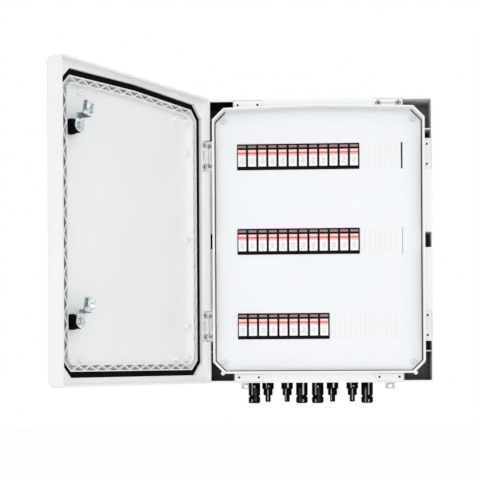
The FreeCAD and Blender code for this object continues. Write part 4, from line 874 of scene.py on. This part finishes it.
flange = case_low.y + LIP_RISE
pad_ink = flange + PAD_SUNK - INK_THICK
lines = 0
pad_face = bmesh.new()
for side in (1, -1):
    for level in (1, -1):
        mesh = bmesh.new()
        across = side * END_PAD_PLACE
        frame_of_lines(mesh, across - PAD_LENGTH / 2, across + PAD_LENGTH / 2,
                       *sorted((level * END_PAD[0], level * END_PAD[1])), pad_ink)
        if side > 0:
            middle = level * FITTING_HEIGHT
            frame_of_lines(mesh, *SIDE_PAD, middle - PAD_LENGTH / 2, middle + PAD_LENGTH / 2, pad_ink)
            bar(pad_face, (sum(SIDE_PAD) / 2, middle), SIDE_PAD[1] - SIDE_PAD[0], PAD_LENGTH,
                pad_ink + INK_THICK / 2)
        corner = f"{'right' if side > 0 else 'left'}_{'upper' if level > 0 else 'lower'}"
        new_piece(f"pad_lines_{corner}", mesh, LINE, "case")
        lines += 1
new_piece("side_pad_faces", pad_face, PAD_GRAIN, "case")
print(lines, "pads lined")

# %% Holes and groove
HOLE_RADIUS = 2.0 * MM
HOLE_PITCH = 35.0 * MM
HOLE_INSET = 9.5 * MM
HOLE_STEPS = 16
GROOVE_LENGTH = HOLE_PITCH * 0.66
GROOVE_WIDTH = 2.2 * MM

hole_x, hole_z = case_high.x - HOLE_INSET, case_high.z - HOLE_INSET
holes = [(hole_x, level * FITTING_HEIGHT + step * HOLE_PITCH / 2) for level in (1, -1) for step in (1, -1)]
holes += [(side * END_PAD_PLACE + step * HOLE_PITCH / 2, level * hole_z)
          for side in (1, -1) for level in (1, -1) for step in (1, -1) if (side, level) != (1, 1)]
disc = [(HOLE_RADIUS * math.cos(step * math.tau / HOLE_STEPS),
         HOLE_RADIUS * math.sin(step * math.tau / HOLE_STEPS)) for step in range(HOLE_STEPS)]
mesh = bmesh.new()
for place in holes:
    add_slab(mesh, disc, place, pad_ink, INK_THICK)
new_piece("pad_hole_shadows", mesh, HOLE_DARK, "case")
mesh = bmesh.new()
bar(mesh, (END_PAD_PLACE, hole_z), GROOVE_LENGTH, GROOVE_WIDTH, pad_ink)
new_piece("pad_groove", mesh, PALE_LINE, "case")
print(len(holes), "holes shaded")

# %% [markdown]
# A hinge has a finer set of lines, where its leaves and its cover meet, and two short slots, all laid as bars
# of painted shade.
# One long bar would sink into the leaf or float above it, because the leaf has steps. So each
# line is drawn in short pieces, and a ray finds the front of the leaf for each of them.

# %% Hinge lines
# In mm from the left edge of the hinge's frame leaf, and from its middle height: x, z, height.
FRAME_LEAF_LINES = ((1.2, 0.0, 47.0, "deep"), (4.2, -1.0, 44.0, "line"), (7.6, 17.5, 9.0, "deep"),
                    (7.6, -15.5, 10.0, "deep"), (7.6, 1.0, 17.0, "line"), (12.1, 1.0, 17.0, "line"),
                    (15.7, 1.0, 17.0, "line"), (19.2, 0.0, 44.0, "deep"))
DOOR_LEAF_LINES = ((-0.3, 0.0, 47.0, "line"), (3.2, 0.0, 44.0, "line"))
HINGE_LINE_WIDTH = 0.9 * MM
HINGE_LINE_STEP = 2.0


def hinge_lines(surface, start_x, middle_z, marks):
    """Meshes of the lines on one leaf, by kind."""
    made = {kind: bmesh.new() for *_, kind in marks}
    for x, z, height, kind in marks:
        place = start_x + x * MM
        steps = round(height / HINGE_LINE_STEP)
        for step in range(steps):
            level = middle_z + (z + height * ((step + 0.5) / steps - 0.5)) * MM
            front = front_of(surface, place, level)
            if front is not None:
                bar(made[kind], (place, level), HINGE_LINE_WIDTH, height * MM / steps, front - INK_THICK)
    return made


for word in ("upper", "lower"):
    low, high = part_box(f"hinge_frame_leaf_{word}")
    middle = (low.z + high.z) / 2
    made = hinge_lines(surface_of(f"hinge_frame_leaf_{word}"), low.x, middle, FRAME_LEAF_LINES)
    new_piece(f"hinge_lines_{word}", made["line"], LINE, "case")
    new_piece(f"hinge_slots_{word}", made["deep"], DEEP_LINE, "case")
    made = hinge_lines(surface_of(f"hinge_door_leaf_{word}"), low.x, middle, DOOR_LEAF_LINES)
    new_piece(f"hinge_door_lines_{word}", made["line"], LINE, "door")
print(len(FRAME_LEAF_LINES) + len(DOOR_LEAF_LINES), "lines on each hinge")

# %% [markdown]
# The blanking strips are scored every half module, so that a piece can be broken off. The frame's scores are
# deep, but in the photograph they are faint, so each one gets a floor close under the face, a little greyer
# than the strip: painted shade for a faint line. Thin seams close the play between strip and window, and an
# end piece closes most of the open end of the middle window and all of the bottom one's.

# %% Score floors and seams
# The floor's grey, darker than the strip, is painted shade of the score.
SCORE_FLOOR_GREY = finish("score_floor_painted_shade", (0.79, 0.795, 0.80), 0.38, grain=1000, bump=0.08, drift=0.012)
SCORE_PITCH = 9.0 * MM
SCORE_WIDTH = 0.8 * MM
SCORE_DEPTH = 0.8 * MM
SCORE_LEFT_OPEN = 0.30 * MM
SCORE_INSET = 1.0 * MM
WINDOW_HEIGHT = 46.0 * MM
SEAM_INSET = 0.075 * MM
SEAM_WIDTH = 0.8 * MM
SEAM_SUNK = 0.03 * MM
END_GAP = 3.0 * MM
END_THICK = 1.0 * MM
# How much of the gap at the end of a window stays open.
END_OPEN = {"middle": 0.8 * MM, "bottom": 0.0}

floors = 0
for row in ROWS:
    low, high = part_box(f"blanking_strip_{row}")
    middle = (low.z + high.z) / 2
    mesh = bmesh.new()
    x = low.x + SCORE_PITCH
    while x + SCORE_WIDTH < high.x:
        add_slab(mesh, rectangle(SCORE_WIDTH, WINDOW_HEIGHT - 2 * SCORE_INSET), (x + SCORE_WIDTH / 2, middle),
                 low.y + SCORE_LEFT_OPEN, SCORE_DEPTH - SCORE_LEFT_OPEN)
        x += SCORE_PITCH
        floors += 1
    for side in (1, -1):
        bar(mesh, ((low.x + high.x) / 2, middle + side * (WINDOW_HEIGHT / 2 - SEAM_INSET)), high.x - low.x,
            SEAM_WIDTH, low.y + SEAM_SUNK, 1)
    if row in END_OPEN:
        width = END_GAP - END_OPEN[row]
        add_slab(mesh, rectangle(width, WINDOW_HEIGHT), (high.x + width / 2, middle), low.y + SEAM_SUNK,
                 END_THICK, 1)
    new_piece(f"strip_score_floors_{row}", mesh, [SCORE_FLOOR_GREY, FINISHES["strip_plastic"]], "case")
print(floors, "score floors")

# %% [markdown]
# The front plate and the case's lip meet without a gap at the top, where the lip has its
# crown. In the frame a gap stays open, and it would show the dark inside of the case. Two
# slabs close it on each side of the crown: one level with the plate, and behind it a collar
# back to the end of the lip's wall.

# %% Collar above the plate
PLATE_CHAMFER = 17.5 * MM
PLATE_CROWN = 4.5 * MM
GAP_FILL = 1.15 * MM
GAP_SUNK = 0.3 * MM
COLLAR_THICK = 1.0 * MM
FLANGE_THICK = 3.0 * MM

plate_low, plate_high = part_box("front_plate")
crown_end, crown_foot, crown_top = plate_high.x - PLATE_CHAMFER, plate_high.z - PLATE_CROWN, plate_high.z
seam_front = plate_low.y + GAP_SUNK
seam_back = seam_front + COLLAR_THICK
mesh = bmesh.new()
for side in (1, -1):
    for inner, outer, front in ((0.0, GAP_FILL, seam_front),
                                (GAP_FILL, GAP_FILL + COLLAR_THICK, flange + FLANGE_THICK)):
        outline = [(side * crown_end, crown_foot + outer), (0, crown_top + outer), (0, crown_top + inner),
                   (side * crown_end, crown_foot + inner)]
        add_slab(mesh, outline if side > 0 else outline[::-1], (0, 0), front, seam_back - front)
new_piece("plate_top_seam", mesh, FINISHES["plate_plastic"], "case")
print("collar above the plate", round((seam_back - flange - FLANGE_THICK) / MM, 1), "mm deep")

# %% [markdown]
# Screw heads read as screws by their recess. It could be cut into each head, but at this distance only its
# darkness shows. So each head gets a cross of painted shade, and a ring of painted shade around its rim or
# its seat, laid on the front face. The places come from the boxes of the nodes, and the crosses lean by
# different angles, as screws do when they are tight.

# %% Screw finishes
# Both greys are painted shade: of the cross recess, and of the seam around a head.
SCREW_PAINTED_SHADES = {
    "recess": finish("screw_recess", (0.020, 0.020, 0.022), 0.6, grain=2200, bump=0.05, drift=0.1,
                     specular=0.2),
    "seam": finish("plate_screw_seam", (0.40, 0.42, 0.43), 0.5, grain=2200, bump=0.03, drift=0.03),
}
print(len(SCREW_PAINTED_SHADES), "inks for screws")

# %% Front plate screws
# Head radius, cross (length, width), ring (outer, inner) and lean (first, step in degrees).
PLATE_SCREW = (4.5 * MM, (4.6 * MM, 0.9 * MM), (5.4 * MM, 4.7 * MM), (0, 20))


def lean_of(screw, number):
    """How far the cross of the screw with this number leans."""
    first, step = screw[3]
    return math.radians(first + step * number)


screw_low, screw_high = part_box("front_plate_screws")
head, cross, ring, _ = PLATE_SCREW
plate_places = [(x, z) for x in (screw_low.x + head, screw_high.x - head)
                for z in (screw_low.z + head, screw_high.z - head)]
for number, centre in enumerate(plate_places, 1):
    mesh = bmesh.new()
    add_cross(mesh, centre, screw_low.y, *cross, lean_of(PLATE_SCREW, number))
    new_piece(f"plate_screw_slot_{number}", mesh, SCREW_PAINTED_SHADES["seam"], "case")
    mesh = bmesh.new()
    add_ring(mesh, centre, plate_low.y, *ring)
    new_piece(f"plate_screw_seat_{number}", mesh, SCREW_PAINTED_SHADES["seam"], "case")
print(len(plate_places), "screws of the front plate")

# %% Hinge screws
HINGE_SCREW = (3.2 * MM, (3.4 * MM, 1.6 * MM), (3.2 * MM, 2.3 * MM), (35, 17))
screw_low, screw_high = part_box("hinge_frame_screws")
head, cross, ring, _ = HINGE_SCREW
middle = (screw_low.x + screw_high.x) / 2
hinge_levels = (screw_low.z + head, screw_low.z + head + HOLE_PITCH, screw_high.z - head - HOLE_PITCH,
                screw_high.z - head)
for number, z in enumerate(hinge_levels, 1):
    mesh = bmesh.new()
    add_cross(mesh, (middle, z), screw_low.y, *cross, lean_of(HINGE_SCREW, number))
    add_ring(mesh, (middle, z), screw_low.y, *ring)
    new_piece(f"hinge_screw_cross_{number}", mesh, SCREW_PAINTED_SHADES["recess"], "case")
print(len(hinge_levels), "screws of the hinges")

# %% Pad screws
PAD_SCREW = (4.0 * MM, (5.0 * MM, 1.6 * MM), (5.1 * MM, 4.1 * MM), (0, 28))
screw_low, screw_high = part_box("pad_screws")
head, cross, ring, _ = PAD_SCREW
middle = (screw_low.z + screw_high.z) / 2
pad_places = (screw_low.x + head, screw_high.x - head)
for number, x in enumerate(pad_places, 1):
    mesh = bmesh.new()
    add_cross(mesh, (x, middle), screw_low.y, *cross, lean_of(PAD_SCREW, number))
    new_piece(f"pad_screw_cross_{number}", mesh, SCREW_PAINTED_SHADES["recess"], "case")
    mesh = bmesh.new()
    add_ring(mesh, (x, middle), pad_ink + MARK_THICK, *ring)
    new_piece(f"pad_screw_seat_{number}", mesh, DEEP_LINE, "case")
print(len(pad_places), "screws in the upper right pad")
